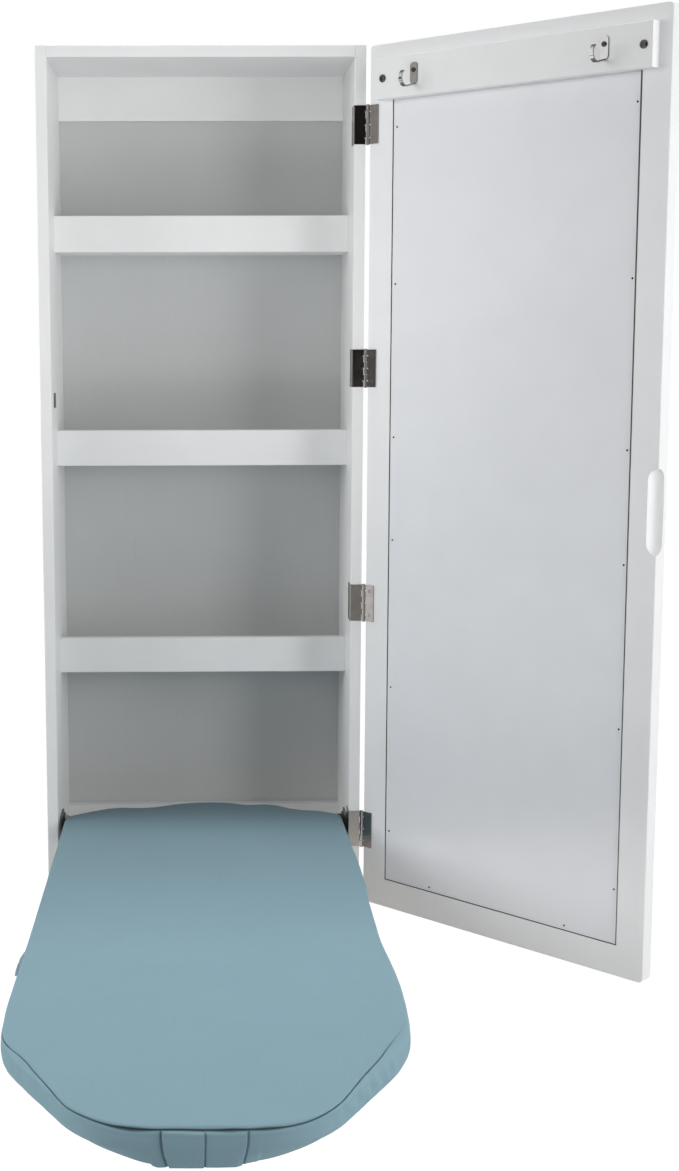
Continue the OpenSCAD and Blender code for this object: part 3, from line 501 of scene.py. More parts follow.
def to_room(x, u, h):
    """Turns the board's x, u and h into room points: the board rises by TILT towards its nose."""
    y = PIVOT[1] - u * np.cos(TILT) + h * np.sin(TILT)
    z = PIVOT[2] + u * np.sin(TILT) + h * np.cos(TILT)
    return np.stack([np.broadcast_to(x, y.shape) + PIVOT[0], y, z], axis=-1)


def smooth(value, low, high):
    """0 below low, 1 above high, and a smooth rise between them."""
    share = np.clip((value - low) / (high - low), 0.0, 1.0)
    return share * share * (3.0 - 2.0 * share)


print("board pivot at", [round(float(v), 4) for v in PIVOT])

# %% [markdown]
# ## The board's outline
#
# Seen from above the board has straight sides, soft shoulders, slanting cheeks and a blunt
# nose; its tail is a shallow arc. Every part is an arc or a straight, so the outline is joined
# from arcs, then walked at chosen steps. The steps are finer where the cover has pleats.


# %% Outline as a walk
def arc(centre, radius, start, end, count=40):
    angle = np.radians(np.linspace(start, end, count))
    return np.stack([centre[0] + radius * np.cos(angle), centre[1] + radius * np.sin(angle)], axis=-1)


def outline(tail_corner=0.012):
    """Corner points of the board, from the tail's middle round the right side and back."""
    shoulder_r, nose_r, flat, slant = 0.150, 0.090, 0.060, 30.0
    x_a = HALF_W - shoulder_r * (1 - np.cos(np.radians(slant)))
    x_b = flat / 2 + nose_r * np.cos(np.radians(slant))
    u_nose = NOSE_U - nose_r
    u_shoulder = u_nose + (nose_r - shoulder_r) * 0.5 - (x_a - x_b) / np.tan(np.radians(slant))
    tail_r = (HALF_W**2 + TAIL_RISE**2) / (2 * TAIL_RISE)
    tail_c = TAIL_U + tail_r
    reach = np.degrees(np.arcsin((HALF_W - tail_corner) / (tail_r - tail_corner)))
    corner_u = tail_c - (tail_r - tail_corner) * np.cos(np.radians(reach))
    half = np.concatenate(
        [
            arc((0.0, tail_c), tail_r, 270.0, 270.0 + reach, 60),
            arc((HALF_W - tail_corner, corner_u), tail_corner, 270.0 + reach, 360.0, 14),
            arc((HALF_W - shoulder_r, u_shoulder), shoulder_r, 0.0, slant, 30),
            arc((flat / 2, u_nose), nose_r, slant, 90.0, 40),
        ]
    )
    other = half[::-1] * np.array([-1.0, 1.0])
    return np.concatenate([half, other[:-1]])


def walk(points, spots):
    """Points at given shares of the closed line's length, with the outward direction at each."""
    closed = np.concatenate([points, points[:1]])
    keep = np.concatenate([[True], np.linalg.norm(np.diff(closed, axis=0), axis=1) > 1e-7])
    closed = closed[keep]
    length = np.concatenate([[0.0], np.cumsum(np.linalg.norm(np.diff(closed, axis=0), axis=1))])
    total = length[-1]

    def at_length(metres):
        return np.stack([np.interp(metres, length, closed[:, i]) for i in (0, 1)], axis=-1)

    near = 0.002
    along = at_length((spots * total + near) % total) - at_length((spots * total - near) % total)
    along /= np.linalg.norm(along, axis=1)[:, None]
    return at_length(spots * total), np.stack([along[:, 1], -along[:, 0]], axis=-1), total


def spots_with_pleats(count, pleats, total, extra=56, width=0.0085):
    """Even shares of the round, and extra ones within width of each pleat."""
    even = np.linspace(0.0, 1.0, count, endpoint=False)
    fine = [0.5 - (pleat + np.linspace(-width, width, extra)) / total for pleat in pleats]
    return np.unique(np.round(np.concatenate([even, *fine]), 7))


edge_points = outline()
_, _, ROUND = walk(edge_points, np.array([0.0]))
print("the board is", round(ROUND, 3), "m round")

# %% [markdown]
# ## A mesh from a grid
#
# Each cloth piece is a function on a grid: one parameter goes round, the other from the middle
# over the edge to the hem. The same few lines turn any such grid into a mesh. A closed grid
# joins its last column to its first.


# %% Grid to mesh
def mesh_from_grid(name, points, around=True, uv=None, attributes=None):
    """points has the shape (rows, columns, 3). Faces join neighbours, with columns closed in a ring."""
    rows, columns = points.shape[:2]
    number = np.arange(rows * columns).reshape(rows, columns)
    nxt = np.roll(number, -1, axis=1) if around else number[:, 1:]
    here = number if around else number[:, :-1]
    faces = np.stack([here[:-1], nxt[:-1], nxt[1:], here[1:]], axis=-1).reshape(-1, 4)
    mesh = bpy.data.meshes.new(name)
    mesh.from_pydata(points.reshape(-1, 3).tolist(), [], faces.tolist())
    if uv is not None:
        layer = mesh.uv_layers.new(name="cloth")
        corners = np.empty(len(mesh.loops), np.int32)
        mesh.loops.foreach_get("vertex_index", corners)
        layer.data.foreach_set("uv", uv.reshape(-1, 2)[corners].astype(np.float32).ravel())
    for key, values in (attributes or {}).items():
        numbers = values.astype(np.float32).ravel()
        mesh.attributes.new(key, "FLOAT", "POINT").data.foreach_set("value", numbers)
    mesh.polygons.foreach_set("use_smooth", np.ones(len(mesh.polygons), bool))
    mesh.update()
    piece = bpy.data.objects.new(name, mesh)
    bpy.context.scene.collection.objects.link(piece)
    return piece


def tidy(piece, distance=0.00005):
    """Merges points that meet and turns all faces outwards."""
    work = bmesh.new()
    work.from_mesh(piece.data)
    bmesh.ops.remove_doubles(work, verts=work.verts, dist=distance)
    bmesh.ops.recalc_face_normals(work, faces=work.faces)
    work.to_mesh(piece.data)
    work.free()
    return piece


print("grids can become meshes now")

# %% [markdown]
# ## The cover
#
# The real cover is one panel of cotton sewn to a strip that hangs as a skirt. Elastic pulls the
# hem in at the nose's corners and bunches the cloth at the tail. Three pleats take up the slack
# at the nose. It could be draped by a cloth simulation, but the photograph shows where each
# seam, pleat and dip is, and a surface that is worked out puts them there.
#
# The grid's columns go round the board. Its rows go from the spine, a line along the board's
# middle, over the rounded edge, into the seam, and down the skirt to the hem.


# %% How the cloth lies
COVER_TOP, HEM_H, SHORT_HEM_H = 0.0088, -0.0219, -0.0093
TUCK_FROM_H = -0.0095
CLOTH_THICK = 0.0008
PLEATS = np.array([-0.0306, 0.0, 0.0314])
PLEAT_LEAN = np.array([0.0048, -0.0004, -0.0038])
DEEPEST_DIP = 0.0054
TAIL_X = [-170, -151, -118, -101, -86, -73, -60, -48, -35, -13]
TAIL_X += [11, 32, 52, 64, 76, 92, 106, 123, 143, 170]
TAIL_DIP = [2.6, 1.7, 0.2, 1.2, 3.6, 5.2, 5.4, 4.6, 2.8, 1.4]
TAIL_DIP += [0.2, 0.6, 3.2, 2.2, 0.2, 0.4, 3.2, 3.4, 0.6, 0.3]


def top_height(x, u):
    """Height of the cloth: nearly flat, with slow waves, and dips that run in from the tail."""
    waves = 0.00022 * np.sin(x * 31.0 + 1.2) * np.sin(u * 17.0 + 0.6)
    waves += 0.00016 * np.sin(x * 47.0 - u * 23.0 + 2.0)
    soft = np.interp(x * 1000.0, TAIL_X, TAIL_DIP)
    evened = np.convolve(np.pad(TAIL_DIP, 1, mode="edge"), [0.25, 0.5, 0.25], "valid")
    spread = np.interp(x * 1000.0, TAIL_X, evened)
    tail_edge = TAIL_U + TAIL_RISE * (x / HALF_W) ** 2
    inward = u - tail_edge
    near = np.exp(-np.clip(inward, 0.0, None) / 0.016)
    far = np.exp(-np.clip(inward, 0.0, None) / 0.055)
    dip = 0.001 * (soft * near * 0.75 + spread * far * 0.25)
    return COVER_TOP + waves - np.minimum(dip, DEEPEST_DIP)


def bump_at(value, middle, width):
    """A soft hump of height 1 that falls away on both sides."""
    return np.exp(-(((value - middle) / width) ** 2))


def by_side(at, left, right):
    """Reads one table of (u, value) on the left half of the board and another on the right half."""
    left, right = np.array(left).T, np.array(right).T
    return np.where(at[:, 0] < 0, np.interp(at[:, 1], *left), np.interp(at[:, 1], *right))


def soften(values, count=9):
    """Evens a closed row of values out with a moving mean."""
    wrapped = np.concatenate([values[-count:], values, values[:count]])
    return np.convolve(wrapped, np.full(count, 1.0 / count), "same")[count:-count]


print("tail dips up to", max(TAIL_DIP), "mm")

# %% [markdown]
# The seam between the top and the skirt normally runs just under the edge. At the shoulders the
# elastic has dragged it up onto the top, furthest on the right. So the edge is one smooth
# profile, and the seam is a crease that may lie anywhere along it: the crease follows a table of
# places read off the photograph, in metres. Each table below pairs a distance along the board with
# a value, for its left or its right half. The bulge tables say, in mm, how far the side stands out.

# %% The edge and its seam
EDGE_R, SIDE_OUT = 0.0036, -0.0003
SEAM_LEFT = [(0.62, 0.0), (0.68, 0.002), (0.713, 0.005), (0.738, 0.0091), (0.772, 0.0054), (0.808, 0.0028)]
SEAM_LEFT += [(0.85, 0.0013)]
SEAM_RIGHT = [(0.58, 0.0), (0.64, 0.004), (0.70, 0.0115), (0.723, 0.013), (0.739, 0.012), (0.758, 0.0099)]
SEAM_RIGHT += [(0.785, 0.0073), (0.811, 0.0043), (0.836, 0.0014), (0.85, 0.0014)]


def over_edge(a):
    """Carries a length a over the edge: level, then a quarter round, then straight down."""
    angle = np.clip(a / EDGE_R, 0.0, np.pi / 2)
    out = SIDE_OUT - EDGE_R + EDGE_R * np.sin(angle) + np.minimum(a, 0.0)
    drop = EDGE_R * (1.0 - np.cos(angle)) + np.maximum(a - EDGE_R * np.pi / 2, 0.0)
    return out, drop, angle


def seam_crease(at):
    """How deep and wide the crease is, where there is one, and how wide its painted shade is. It gapes
    most at the left of the nose."""
    x, u = at[:, 0], at[:, 1]
    nose = smooth(u, 0.82, 0.85)
    gape = bump_at(x, -0.054, 0.014) + 0.5 * bump_at(x, 0.019, 0.010) + 0.6 * bump_at(x, 0.046, 0.010)
    there = 1.0 - bump_at(u, 0.655, 0.045) * (x > 0)
    thin = 0.62 + 0.2 * nose + 1.2 * gape * nose
    return (0.0012 + 0.0012 * gape * nose) * there, 0.0006 + 0.0004 * gape * nose, there, thin


BULGE_LEFT = [(0.0, 0.0), (0.06, 0.0), (0.14, -0.3), (0.45, -0.3), (0.50, 0.1), (0.55, 0.6), (0.60, 1.2)]
BULGE_LEFT += [(0.625, 1.5), (0.645, 0.6), (0.66, 0.0), (0.68, -0.5), (0.73, -0.5), (0.76, 0.0), (0.86, 0.0)]
BULGE_RIGHT = [(0.0, 0.0), (0.06, 0.3), (0.10, 1.4), (0.148, 1.7), (0.19, 3.6), (0.30, 4.0), (0.33, 1.8)]
BULGE_RIGHT += [(0.36, 1.4), (0.42, 1.3), (0.45, 0.7), (0.477, 1.7), (0.504, 3.3), (0.53, 5.0), (0.555, 5.8)]
BULGE_RIGHT += [(0.60, 6.7), (0.63, 5.6), (0.65, 4.6), (0.67, 3.8), (0.69, 1.8), (0.71, 0.0), (0.86, 0.0)]


def by_walk(at, walked, left, right):
    """Reads tables of (distance from the nose's middle, value), in mm, one for each half of the board."""
    away = 1000.0 * np.abs(walked - ROUND / 2)
    left, right = np.array(left).T, np.array(right).T
    return 0.001 * soften(np.where(at[:, 0] < 0, np.interp(away, *left), np.interp(away, *right)))


TUCK_LEFT = [(0, 0.0), (30, 0.3), (36, 1.4), (42, 3.6), (51, 6.0), (60, 8.2), (72, 9.8), (86, 10.8)]
TUCK_LEFT += [(101, 11.5), (140, 11.6), (184, 11.4), (235, 12.4), (262, 14.6), (290, 13.4), (330, 6.4)]
TUCK_LEFT += [(390, 1.6), (460, 1.2)]
TUCK_RIGHT = [(0, 0.0), (24, 0.3), (30, 1.6), (38, 4.2), (47, 7.0), (57, 8.6), (67, 9.8), (80, 11.0)]
TUCK_RIGHT += [(96, 12.0), (112, 12.0), (133, 11.4), (177, 11.2), (240, 9.8), (290, 6.4), (350, 2.2)]
TUCK_RIGHT += [(460, 1.2)]
RISE_LEFT = [(0, 0.2), (26, 0.0), (34, -0.9), (42, 0.5), (60, 2.0), (86, 3.0), (119, 3.6), (162, 5.0)]
RISE_LEFT += [(242, 5.2), (290, 4.6), (330, 1.6), (380, 0.0)]
RISE_RIGHT = [(0, 0.2), (22, -0.2), (32, 1.6), (44, 1.4), (52, 1.0), (60, 2.2), (96, 2.6), (120, 3.2)]
RISE_RIGHT += [(150, 2.6), (178, 2.6), (192, 1.8), (212, 3.0), (236, 5.6), (262, 5.0), (290, 3.6), (330, 0.8)]
RISE_RIGHT += [(380, 0.0)]


def pleat_lift(at, down):
    """Flat folds of the skirt at the nose. Each flap lies on its neighbour and steps down at a pleat.
    Returns how far the cloth stands out, and how far each point is from a pleat's edge, which sets the
    painted shade along the pleats."""
    x = at[:, 0][None, :]
    nose = smooth(at[:, 1], 0.835, 0.850)[None, :]
    left, middle, right = PLEATS[:, None, None] + PLEAT_LEAN[:, None, None] * down[None] ** 2
    inside = smooth(x, left - 0.0001, left + 0.0004) * (1.0 - smooth(x, right - 0.0004, right + 0.0001))
    flap = 1.0 - smooth(x, middle - 0.0001, middle + 0.0003)
    puff = 0.0006 * np.sin(np.clip((x - left) / (right - left), 0.0, 1.0) * np.pi)
    groove = 0.0010 * (bump_at(x, left - 0.0008, 0.0007) + bump_at(x, right + 0.0008, 0.0007))
    groove = groove + 0.0007 * bump_at(x, middle + 0.0008, 0.0006)
    away = np.minimum(np.abs(x - left + 0.0002), np.abs(x - right - 0.0002))
    away = np.minimum(away, np.abs(x - middle - 0.0002))
    return (inside * (0.0009 + puff + 0.0011 * flap) - groove) * nose, away * 2.4 + 0.1 * (1.0 - nose)


def puckers(at, down, walked):
    """Small slanting folds in the skirt, where the elastic bunches it: most at the right shoulder."""
    walked = walked[None, :]
    right = 0.0013 * bump_at(at[:, 0], 0.128, 0.030) * smooth(at[:, 1], 0.69, 0.73)
    left = 0.0005 * bump_at(at[:, 0], -0.152, 0.020) * smooth(at[:, 1], 0.66, 0.70)
    ripple = np.sin(walked * 2 * np.pi / 0.021 + down * 4.6 + 1.1 * np.sin(walked * 61.0))
    ripple = ripple + 0.4 * np.sin(walked * 2 * np.pi / 0.0123 - down * 2.9 + 1.0)
    return (right + left)[None, :] * (ripple + 0.7) * np.sin(np.clip(down * 1.5 + 0.12, 0, 1) * np.pi)


print("the edge turns over a radius of", EDGE_R * 1000, "mm")

# %% [markdown]
# Below the seam the skirt hangs straight down. From the deck's underside on, the elastic draws it
# in, by the distances in the tuck tables, while the rise tables lift its hem. Puckers, pleats and
# the bulge of the pad's side are added to that. Near the tail the skirt is cut short.

# %% Cover surface
SPINE_FROM, SPINE_TO = 0.06, 0.70
SEAM_REACH, SKIRT_FROM = 0.006, 0.0045
SHORT_TO, FULL_FROM = 0.0185, 0.026

spots = spots_with_pleats(620, PLEATS, ROUND)
rim, outward, _ = walk(edge_points, spots)
round_m = spots * ROUND
spine = np.stack([np.zeros(len(rim)), np.clip(rim[:, 1], SPINE_FROM, SPINE_TO)], axis=-1)
bulge = 0.001 * soften(by_side(rim, BULGE_LEFT, BULGE_RIGHT), 13)
tuck = by_walk(rim, round_m, TUCK_LEFT, TUCK_RIGHT)
hem_rise = by_walk(rim, round_m, RISE_LEFT, RISE_RIGHT)

shift = soften(by_side(rim, SEAM_LEFT, SEAM_RIGHT))
wobble = 0.0003 * np.sin(round_m * 97.0) + 0.0003 * np.sin(round_m * 41.0 + 1.0)
seam_at = EDGE_R * np.pi / 2 + 0.0006 - shift + wobble
near_seam = np.linspace(-1.0, 1.0, 27)
near_seam = SEAM_REACH * np.sign(near_seam) * np.abs(near_seam) ** 1.6
full = smooth(rim[:, 1], SHORT_TO, FULL_FROM)
hem = SHORT_HEM_H + (HEM_H - SHORT_HEM_H) * full + hem_rise
rim_h = top_height(*(rim + outward * (SIDE_OUT - EDGE_R)).T)
hem_a = EDGE_R * np.pi / 2 + (rim_h - hem) - EDGE_R
first_a, last_a = seam_at - SEAM_REACH, seam_at + SEAM_REACH

inner_share = np.sin(np.linspace(0.0, 1.0, 34) * np.pi / 2)[:, None]
inner_end = rim + outward * (SIDE_OUT - EDGE_R + np.minimum(first_a, 0.0))[:, None]
inner = spine[None] + (inner_end - spine)[None] * inner_share[..., None]
seam_a = seam_at[None] + near_seam[1:, None]
skirt_a = last_a[None] + (hem_a - last_a)[None] * np.linspace(0.0, 1.0, 19)[1:, None]
outer_a = np.concatenate([seam_a, skirt_a])
from_crease = outer_a - seam_at[None]

out, drop, angle = over_edge(outer_a)
level = out - EDGE_R * np.sin(angle)
down = np.clip((drop - SKIRT_FROM) / (rim_h - hem - SKIRT_FROM)[None], 0.0, 1.0)
crease, width, there, thin = (row[None] for row in seam_crease(rim))
press = -crease * bump_at(from_crease, 0.0, width) + 0.0003 * bump_at(from_crease, -0.0026, 0.0014) * there
press = press + 0.0004 * bump_at(from_crease, 0.0028, 0.0016) * there
fold = smooth(from_crease, 0.0, 0.0016)
lift, from_pleat = pleat_lift(rim, down)
loose = (lift + puckers(rim, down, round_m)) * fold
full_nose = 0.0013 * smooth(rim[:, 1], 0.82, 0.85)[None]
loose = loose + (0.0007 + full_nose) * np.sin(np.clip(down * 1.3, 0, 1) * np.pi)
rest = rim[None] + outward[None] * level[..., None]
hang = top_height(*np.moveaxis(rest, -1, 0)) - drop
under = (TUCK_FROM_H - hang) / np.maximum(TUCK_FROM_H - hem, 0.001)[None]
loose = loose - (tuck * full)[None] * np.clip(under / 0.95, 0.0, 1.0) ** 1.15
side = out + press * np.sin(angle) + loose + bulge[None]
rows_inner = len(inner)

ground = np.concatenate([inner, rim[None] + outward[None] * side[..., None]])
ground[:rows_inner] += outward[None] * (bulge[None] * smooth(inner_share, 0.6, 1.0))[..., None]
h = np.concatenate([top_height(*np.moveaxis(inner, -1, 0)), hang])
h[rows_inner:] += press * np.cos(angle)
cloth_points = to_room(ground[..., 0], ground[..., 1], h)
# Painted shade: the cloth darkens by this distance from the seam crease and the pleats' edges.
dark = np.minimum(np.abs(from_crease) / thin, np.where(from_crease > 0.0008, from_pleat + 0.0003, 1.0))
dark = dark + 0.003 * (1.0 - there)
crease_shade_distance = np.concatenate([np.full(inner.shape[:2], 0.05), dark])
around_uv = np.stack([np.broadcast_to(round_m, from_crease.shape), -from_crease], -1)
cloth_uv = np.concatenate([inner, np.where((from_crease > 0.0)[..., None], around_uv, ground[rows_inner:])])
cover = mesh_from_grid("board_cover_cloth", cloth_points, uv=cloth_uv, attributes={"crease_shade_distance": crease_shade_distance})
tidy(cover)
cloth = cover.modifiers.new("solidify", "SOLIDIFY")
cloth.thickness, cloth.offset, cloth.use_even_offset = CLOTH_THICK, -1.0, False
print("cover:", len(cover.data.vertices), "points in", len(h), "rows")

# %% [markdown]
# ## Woven cotton
#
# The cloth is a plain weave in a dusty blue. Its threads are finer than the photograph shows,
# but they carry the soft look: each crossing is a small bump, thread thickness drifts along its
# length, and loose fibres catch light at grazing angles, which the sheen stands for. The pattern
# follows the cloth through its own UV map, in metres. The colour is painted dark in the seam and
# along the pleats' edges, as painted shade in those creases. Towards the tail it is painted
# darker, in two steps, as painted shade for the end that stands inside the cabinet.


# %% Cotton finish
def cotton(name, tone, shade, thread=0.0007):
    made = Finish(name, Sheen_Weight=0.06, Sheen_Roughness=0.5, Specular_IOR_Level=0.12)
    uv = made.add("ShaderNodeUVMap", {"uv_map": "cloth"})
    across, along = made.split(uv, "X"), made.split(uv, "Y")
    crossing = across.wave(2 * thread) * along.wave(2 * thread)
    warp = made.noise(made.stretched(uv, (1.0, 0.03, 1.0)), 0.0012, 2.0)
    weft = made.noise(made.stretched(uv, (0.03, 1.0, 1.0)), 0.0012, 2.0)
    slubs = (warp + weft) * 0.5
    clouds = made.noise(made.place(), 0.07, 3.0)
    colour = made.blend((slubs * 0.7 + clouds * 0.3).step(0.36, 0.64), shade, tone)
    # Painted shade in the seam crease and along the pleats' edges.
    seam = abs(made.add("ShaderNodeAttribute", {"attribute_name": "crease_shade_distance"}, output="Fac"))
    painted_seam_shade = (1.0 - seam.step(0.0003, 0.0013)) * 0.8
    colour = made.blend(painted_seam_shade, colour, tuple(value * 0.15 for value in shade))
    depth = made.split(made.place(), "Y")
    # Painted shade: darker towards the tail, the end that stands inside the cabinet.
    painted_tail_shade = depth.step(-0.66, -0.42) * 0.30 + depth.step(-0.25, -0.115) * 0.6
    colour = made.blend(painted_tail_shade, colour, tuple(value * 0.5 for value in tone))
    relief = made.relief(crossing * 0.5 + slubs * 1.5, 0.00004, 0.6)
    return made.finish(Base_Color=colour, Roughness=0.82 + 0.12 * slubs, Normal=relief)


blue_cotton = cotton("dusty_blue_cotton", (0.250, 0.389, 0.449), (0.238, 0.373, 0.431))
cover.data.materials.append(blue_cotton)
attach(cover, "board")
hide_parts("board_cover")

# %% [markdown]
# ## The pad
#
# Under the cover lies a thin foam pad with a felted face, cut to the deck's shape. Foam that is
# stretched over by cloth is thickest in the middle of its edge and rounds off at its rim, so its
# section is a flat slab with a rounded side.


# %% Pad surface
def pad_surface(low, high, inset, columns=420):
    """A slab: rows go from the spine over the top to the rim, round a half circle, and back below."""
    shares = np.linspace(0.0, 1.0, columns, endpoint=False)
    at, out, _ = walk(edge_points, shares)
    at = at - out * inset
    middle = np.stack([np.zeros(columns), np.clip(at[:, 1], SPINE_FROM, SPINE_TO)], axis=-1)
    inward = np.sin(np.linspace(0.0, 1.0, 24) * np.pi / 2)
    radius = (high - low) / 2
    turns = np.radians(np.linspace(90.0, -90.0, 9))
    ahead = np.concatenate([inward, np.ones(9), inward[::-1]])
    push = np.concatenate([np.full(24, -radius), radius * np.cos(turns) - radius, np.full(24, -radius)])
    level = np.concatenate([np.full(24, high), low + radius + radius * np.sin(turns), np.full(24, low)])
    flat_points = middle[None] + (at + out * -radius - middle)[None] * ahead[:, None, None]
    flat_points = flat_points + out[None] * (push + radius)[:, None, None]
    wave = 0.00015 * np.sin(flat_points[..., 0] * 60) * np.sin(flat_points[..., 1] * 40)
    h = np.broadcast_to(level[:, None], wave.shape) + wave * (level[:, None] > low + radius)
    h = np.minimum(h, np.maximum(top_height(flat_points[..., 0], flat_points[..., 1]) - 0.0013, low))
    return to_room(flat_points[..., 0], flat_points[..., 1], h), flat_points


pad_points, pad_uv = pad_surface(0.0024, 0.0072, 0.0062)
pad = tidy(mesh_from_grid("board_foam_pad", pad_points, uv=pad_uv))
felt = Finish("felted_foam", Sheen_Weight=0.2)
place = felt.place()
fibres = felt.noise(place, 0.0012, 4.0, 0.7)
pores = felt.noise(place, 0.0035, 2.0)
pad.data.materials.append(
    felt.finish(
        Base_Color=felt.blend(fibres.step(0.3, 0.7), (0.72, 0.69, 0.6), (0.6, 0.57, 0.49)),
        Roughness=0.85 + 0.1 * pores,
        Normal=felt.relief(fibres + pores, 0.0003),
    )
)
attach(pad, "board")
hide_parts("foam_pad")
print("pad:", len(pad.data.vertices), "points")

# %% [markdown]
# ## The holding tab
#
# A short loop of the same cotton is sewn into the left seam. When the board stands in the
# cabinet, the tab presses into the grip patch on the side panel. It is a strip folded in two:
# a narrow U, a little uneven along its length, with its ends closed.


# %% Tab surface
TAB_U, TAB_H = 0.516, 0.0059


def tab_surface(length=0.0600, reach=0.0042, thick=0.0011, count=40):
    """The section is a flattened loop: out along the top, round the fold, and back below."""
    turns = np.radians(np.linspace(90.0, -90.0, 9))
    fold = reach - thick / 2 + thick / 2 * np.cos(turns)
    out = np.concatenate([[-0.0030, 0.0, reach * 0.5], fold, [reach * 0.5, 0.0, -0.0030]])
    up = np.concatenate([[thick / 2] * 3, thick / 2 * np.sin(turns), [-thick / 2] * 3])
    along = np.linspace(-0.5, 0.5, count)
    ends = np.clip((0.5 - np.abs(along)) / 0.02, 0.0, 1.0) ** 0.5
    sway = 0.0005 * np.sin(along * 9.0) + 0.0003 * np.sin(along * 23.0)
    corner = np.clip((along + 0.5) / 0.34, 0.02, 1.0)
    grown = np.sin(corner * np.pi / 2) ** 0.7 * (1.0 + 0.05 * np.sin(along * 7.0))
    stands_out = out[:, None] * np.where(out > 0, 1.0, 0.0)[:, None] * grown[None, :]
    x = -(HALF_W - 0.0012) - stands_out - np.minimum(out, 0.0)[:, None]
    u = TAB_U + np.broadcast_to(along[None, :] * length, x.shape)
    h = TAB_H + up[:, None] * ends[None, :] + sway[None, :] * (out[:, None] / reach).clip(0, 1)
    return to_room(x, u, h), np.stack([u, x], -1)


tab_points, tab_uv = tab_surface()
# The tab carries no painted crease shade.
no_crease_shade = {"crease_shade_distance": np.full(tab_points.shape[:2], 0.01)}
tab = tidy(mesh_from_grid("holding_tab_cloth", tab_points, around=False, uv=tab_uv, attributes=no_crease_shade))
tab.data.materials.append(cotton("tab_cotton", (0.24, 0.33, 0.385), (0.2, 0.285, 0.335)))
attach(tab, "board")
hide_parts("hold_tab")
print("tab:", len(tab.data.vertices), "points")

# %% [markdown]
# ## The cloth's cut
#
# The cover is one sheet, stretched over the pad. Its cut was the board's outline with a strip as
# wide as the skirt all round, so its flat area is the area of the surface.

# %% [markdown]
# ## The grip patch
#
# A patch of hook-and-loop tape is glued to the left side panel. It is a thin cushion of tiny
# loops: a rounded pad whose face is roughened by a fine pattern of bumps.


# %% Patch surface
def patch_surface(low, high, count=64):
    """A superellipse pad that stands out along X: its height falls to nothing at the rim."""
    a, b = np.meshgrid(np.linspace(-1, 1, count), np.linspace(-1, 1, count))
    rim_fall = (1 - np.abs(a) ** 10) * (1 - np.abs(b) ** 10)
    loops = 0.12 * np.sin(a * 43.0 + np.sin(b * 31.0)) * np.sin(b * 41.0 + np.sin(a * 29.0))
    depth = np.clip(rim_fall, 0.0, 1.0) ** 0.4 * (0.84 + loops)
    x = low[0] + (high[0] - low[0]) * depth
    y = (low[1] + high[1]) / 2 + (high[1] - low[1]) / 2 * a
    z = (low[2] + high[2]) / 2 + (high[2] - low[2]) / 2 * b
    return np.stack([x, y, z], -1)


patch_low, patch_high = (np.array(corner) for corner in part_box("grip_patch"))
face = patch_surface(patch_low, patch_high)
back = face.copy()
back[..., 0] = patch_low[0]
ring = np.concatenate([face[:, ::-1], back], axis=1)
patch = tidy(mesh_from_grid("grip_patch_loops", ring))
loops = Finish("black_loop_tape", Sheen_Weight=0.4)
place = loops.place()
tangle = loops.noise(place, 0.0009, 4.0, 0.75)
patch.data.materials.append(
    loops.finish(
        Base_Color=loops.blend(tangle.step(0.35, 0.65), (0.10, 0.105, 0.11), (0.03, 0.031, 0.033)),
        Roughness=0.8 + 0.15 * tangle,
        Normal=loops.relief(tangle, 0.0006),
    )
)
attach(patch, "cabinet")
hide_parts("grip_patch")
print("patch:", len(patch.data.vertices), "points")

# %% [markdown]
# ## Floor and light
#
# The object stands in white. A pale floor lies well below the cabinet. To the camera, and in
# gloss, floor and world are plain white; to the object they are a soft even light. Large lamps
# shape it: two at the left light the door and the bays' right parts, two at the right light the
# left panel, one overhead lights the board, and weak ones lift the top bay, the underside of the
# top and the skirt. The cards behind the camera and at the left are what bare metal mirrors.


# %% World and floor
def emptied(owner):
    """The node tree of a world or material, with nothing in it."""
    owner.use_nodes = True
    owner.node_tree.nodes.clear()
    return owner.node_tree


def coloured(tree, kind, colour, strength=None):
    """Adds a shader node of one colour."""
    node = tree.nodes.new(kind)
    node.inputs["Color"].default_value = (*colour, 1.0)
    if strength is not None:
        node.inputs["Strength"].default_value = strength
    return node


def show(tree, shader, kind="ShaderNodeOutputMaterial"):
    """Links a shader to a new output."""
    tree.links.new(shader.outputs[0], tree.nodes.new(kind).inputs[0])


def white_to_camera(tree, seen, lit):
    """Mixes two shaders: seen for camera, gloss and clear rays, and lit for all others."""
    path, mix = tree.nodes.new("ShaderNodeLightPath"), tree.nodes.new("ShaderNodeMixShader")
    first, second = tree.nodes.new("ShaderNodeMath"), tree.nodes.new("ShaderNodeMath")
    first.operation = second.operation = "MAXIMUM"
    tree.links.new(path.outputs["Is Camera Ray"], first.inputs[0])
    tree.links.new(path.outputs["Is Glossy Ray"], first.inputs[1])
    tree.links.new(first.outputs[0], second.inputs[0])
    tree.links.new(path.outputs["Is Transmission Ray"], second.inputs[1])
    tree.links.new(second.outputs[0], mix.inputs[0])
    tree.links.new(lit.outputs[0], mix.inputs[1])
    tree.links.new(seen.outputs[0], mix.inputs[2])
    return mix


WORLD_LIGHT = 0.24
world = bpy.data.worlds.new("studio")
bpy.context.scene.world = world
tree = emptied(world)
plain = coloured(tree, "ShaderNodeBackground", (1.0, 1.0, 1.0), 1.0)
even = coloured(tree, "ShaderNodeBackground", (0.98, 0.99, 1.0), WORLD_LIGHT)
show(tree, white_to_camera(tree, plain, even), "ShaderNodeOutputWorld")

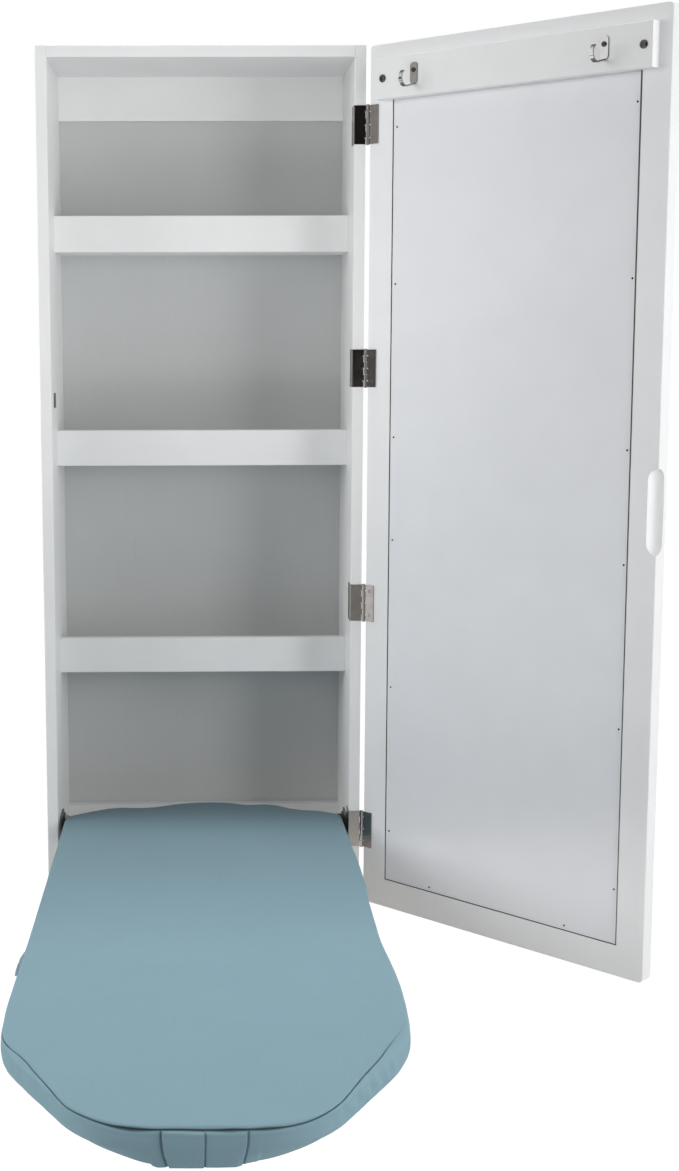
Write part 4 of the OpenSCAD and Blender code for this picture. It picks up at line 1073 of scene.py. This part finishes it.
FLOOR_Z, FLOOR_ENDS = -1.80, (-9.0, 9.0)
corners = np.array([[(x, y, FLOOR_Z) for x in FLOOR_ENDS] for y in FLOOR_ENDS])
floor = mesh_from_grid("floor", corners, around=False)
floor_paint = bpy.data.materials.new("pale_floor")
tree = emptied(floor_paint)
glow = coloured(tree, "ShaderNodeEmission", (1.0, 1.0, 1.0), 0.95)
matt = coloured(tree, "ShaderNodeBsdfDiffuse", (0.8, 0.8, 0.8))
shade = coloured(tree, "ShaderNodeBsdfDiffuse", (0.28, 0.28, 0.28))
both = tree.nodes.new("ShaderNodeAddShader")
tree.links.new(glow.outputs[0], both.inputs[0])
tree.links.new(shade.outputs[0], both.inputs[1])
show(tree, white_to_camera(tree, both, matt))
floor.data.materials.append(floor_paint)
floor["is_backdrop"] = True


# %% Lamps and cards
def lamp(name, place, aim, size, power, spread=180.0):
    data = bpy.data.lights.new(name, "AREA")
    data.shape, data.size, data.energy, data.spread = "SQUARE", size, power, np.radians(spread)
    lit = bpy.data.objects.new(name, data)
    lit.location = place
    lit.rotation_euler = (Vector(aim) - Vector(place)).to_track_quat("-Z", "Y").to_euler()
    lit.visible_glossy = lit.visible_camera = False
    bpy.context.scene.collection.objects.link(lit)


def card(name, ends, low_z, high_z, brightness):
    """An upright card over two (x, y) ends. Only gloss sees it, so it tones reflections and casts nothing."""
    corners = np.array([[(*end, z) for end in ends] for z in (low_z, high_z)])
    flag = mesh_from_grid(name, corners, around=False)
    paint = bpy.data.materials.new(name)
    tree = emptied(paint)
    glow = coloured(tree, "ShaderNodeEmission", (brightness, brightness * 0.97, brightness * 0.94))
    show(tree, glow)
    flag.data.materials.append(paint)
    flag.visible_camera = flag.visible_diffuse = flag.visible_shadow = flag.visible_transmission = False
    flag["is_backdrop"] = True


MIDDLE = (0.0, -0.15, -0.45)
FRONT, LEFT = ((-1.0, -2.9), (1.5, -2.9)), ((-2.2, -0.9), (-2.2, 0.1))
lamp("left_lamp", (-2.2, -0.7, 0.1), MIDDLE, 1.3, 23.8)
lamp("left_front_lamp", (-1.5, -1.4, 0.3), MIDDLE, 1.3, 3.9)
lamp("high_right_lamp", (1.7, -1.5, 0.3), MIDDLE, 1.3, 11.6)
lamp("low_right_lamp", (1.7, -1.5, -0.6), MIDDLE, 1.3, 16.2)
lamp("overhead_lamp", (0.0, -0.1, 2.2), (0.0, -0.75, -0.9), 1.2, 3.5, 50.0)
lamp("top_bay_lamp", (0.0, -1.6, -0.1), (0.0, 0.0, -0.05), 0.5, 0.42, 70.0)
lamp("under_top_lamp", (0.0, -0.75, -0.8), (0.0, -0.05, 0.0), 0.3, 0.24, 60.0)
lamp("low_left_beam", (-1.4, -1.6, -1.3), (0.0, -0.75, -0.92), 0.5, 0.30, 40.0)
lamp("low_right_beam", (1.5, -1.3, -0.8), (0.0, -0.1, -0.05), 0.5, 0.038, 25.0)
card("dark_front_card", FRONT, -0.62, 1.4, 0.012)
card("grey_front_card", FRONT, -2.8, -0.62, 0.34)
card("top_left_card", LEFT, -0.02, 0.7, 0.42)
card("dark_left_card", LEFT, -0.72, -0.02, 0.10)
card("low_left_card", LEFT, -2.6, -1.34, 0.12)
bpy.context.scene.view_settings.view_transform = "Standard"
print("nine lamps, five cards, world light", WORLD_LIGHT)

# %% [markdown]
# ## Measure and finish
#
# Both boxes are measured, and the last line prints how far the object stands out past the
# solids' low corner. The finished object may be only a little larger than the solids it was
# built round.

# %% Sizes and the last line
full_low, full_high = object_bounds()
growth = [round((a - b) * 1000, 2) for a, b in zip(solid_low, full_low)]
print("past the solids' low corner the object stands out by", growth, "mm")
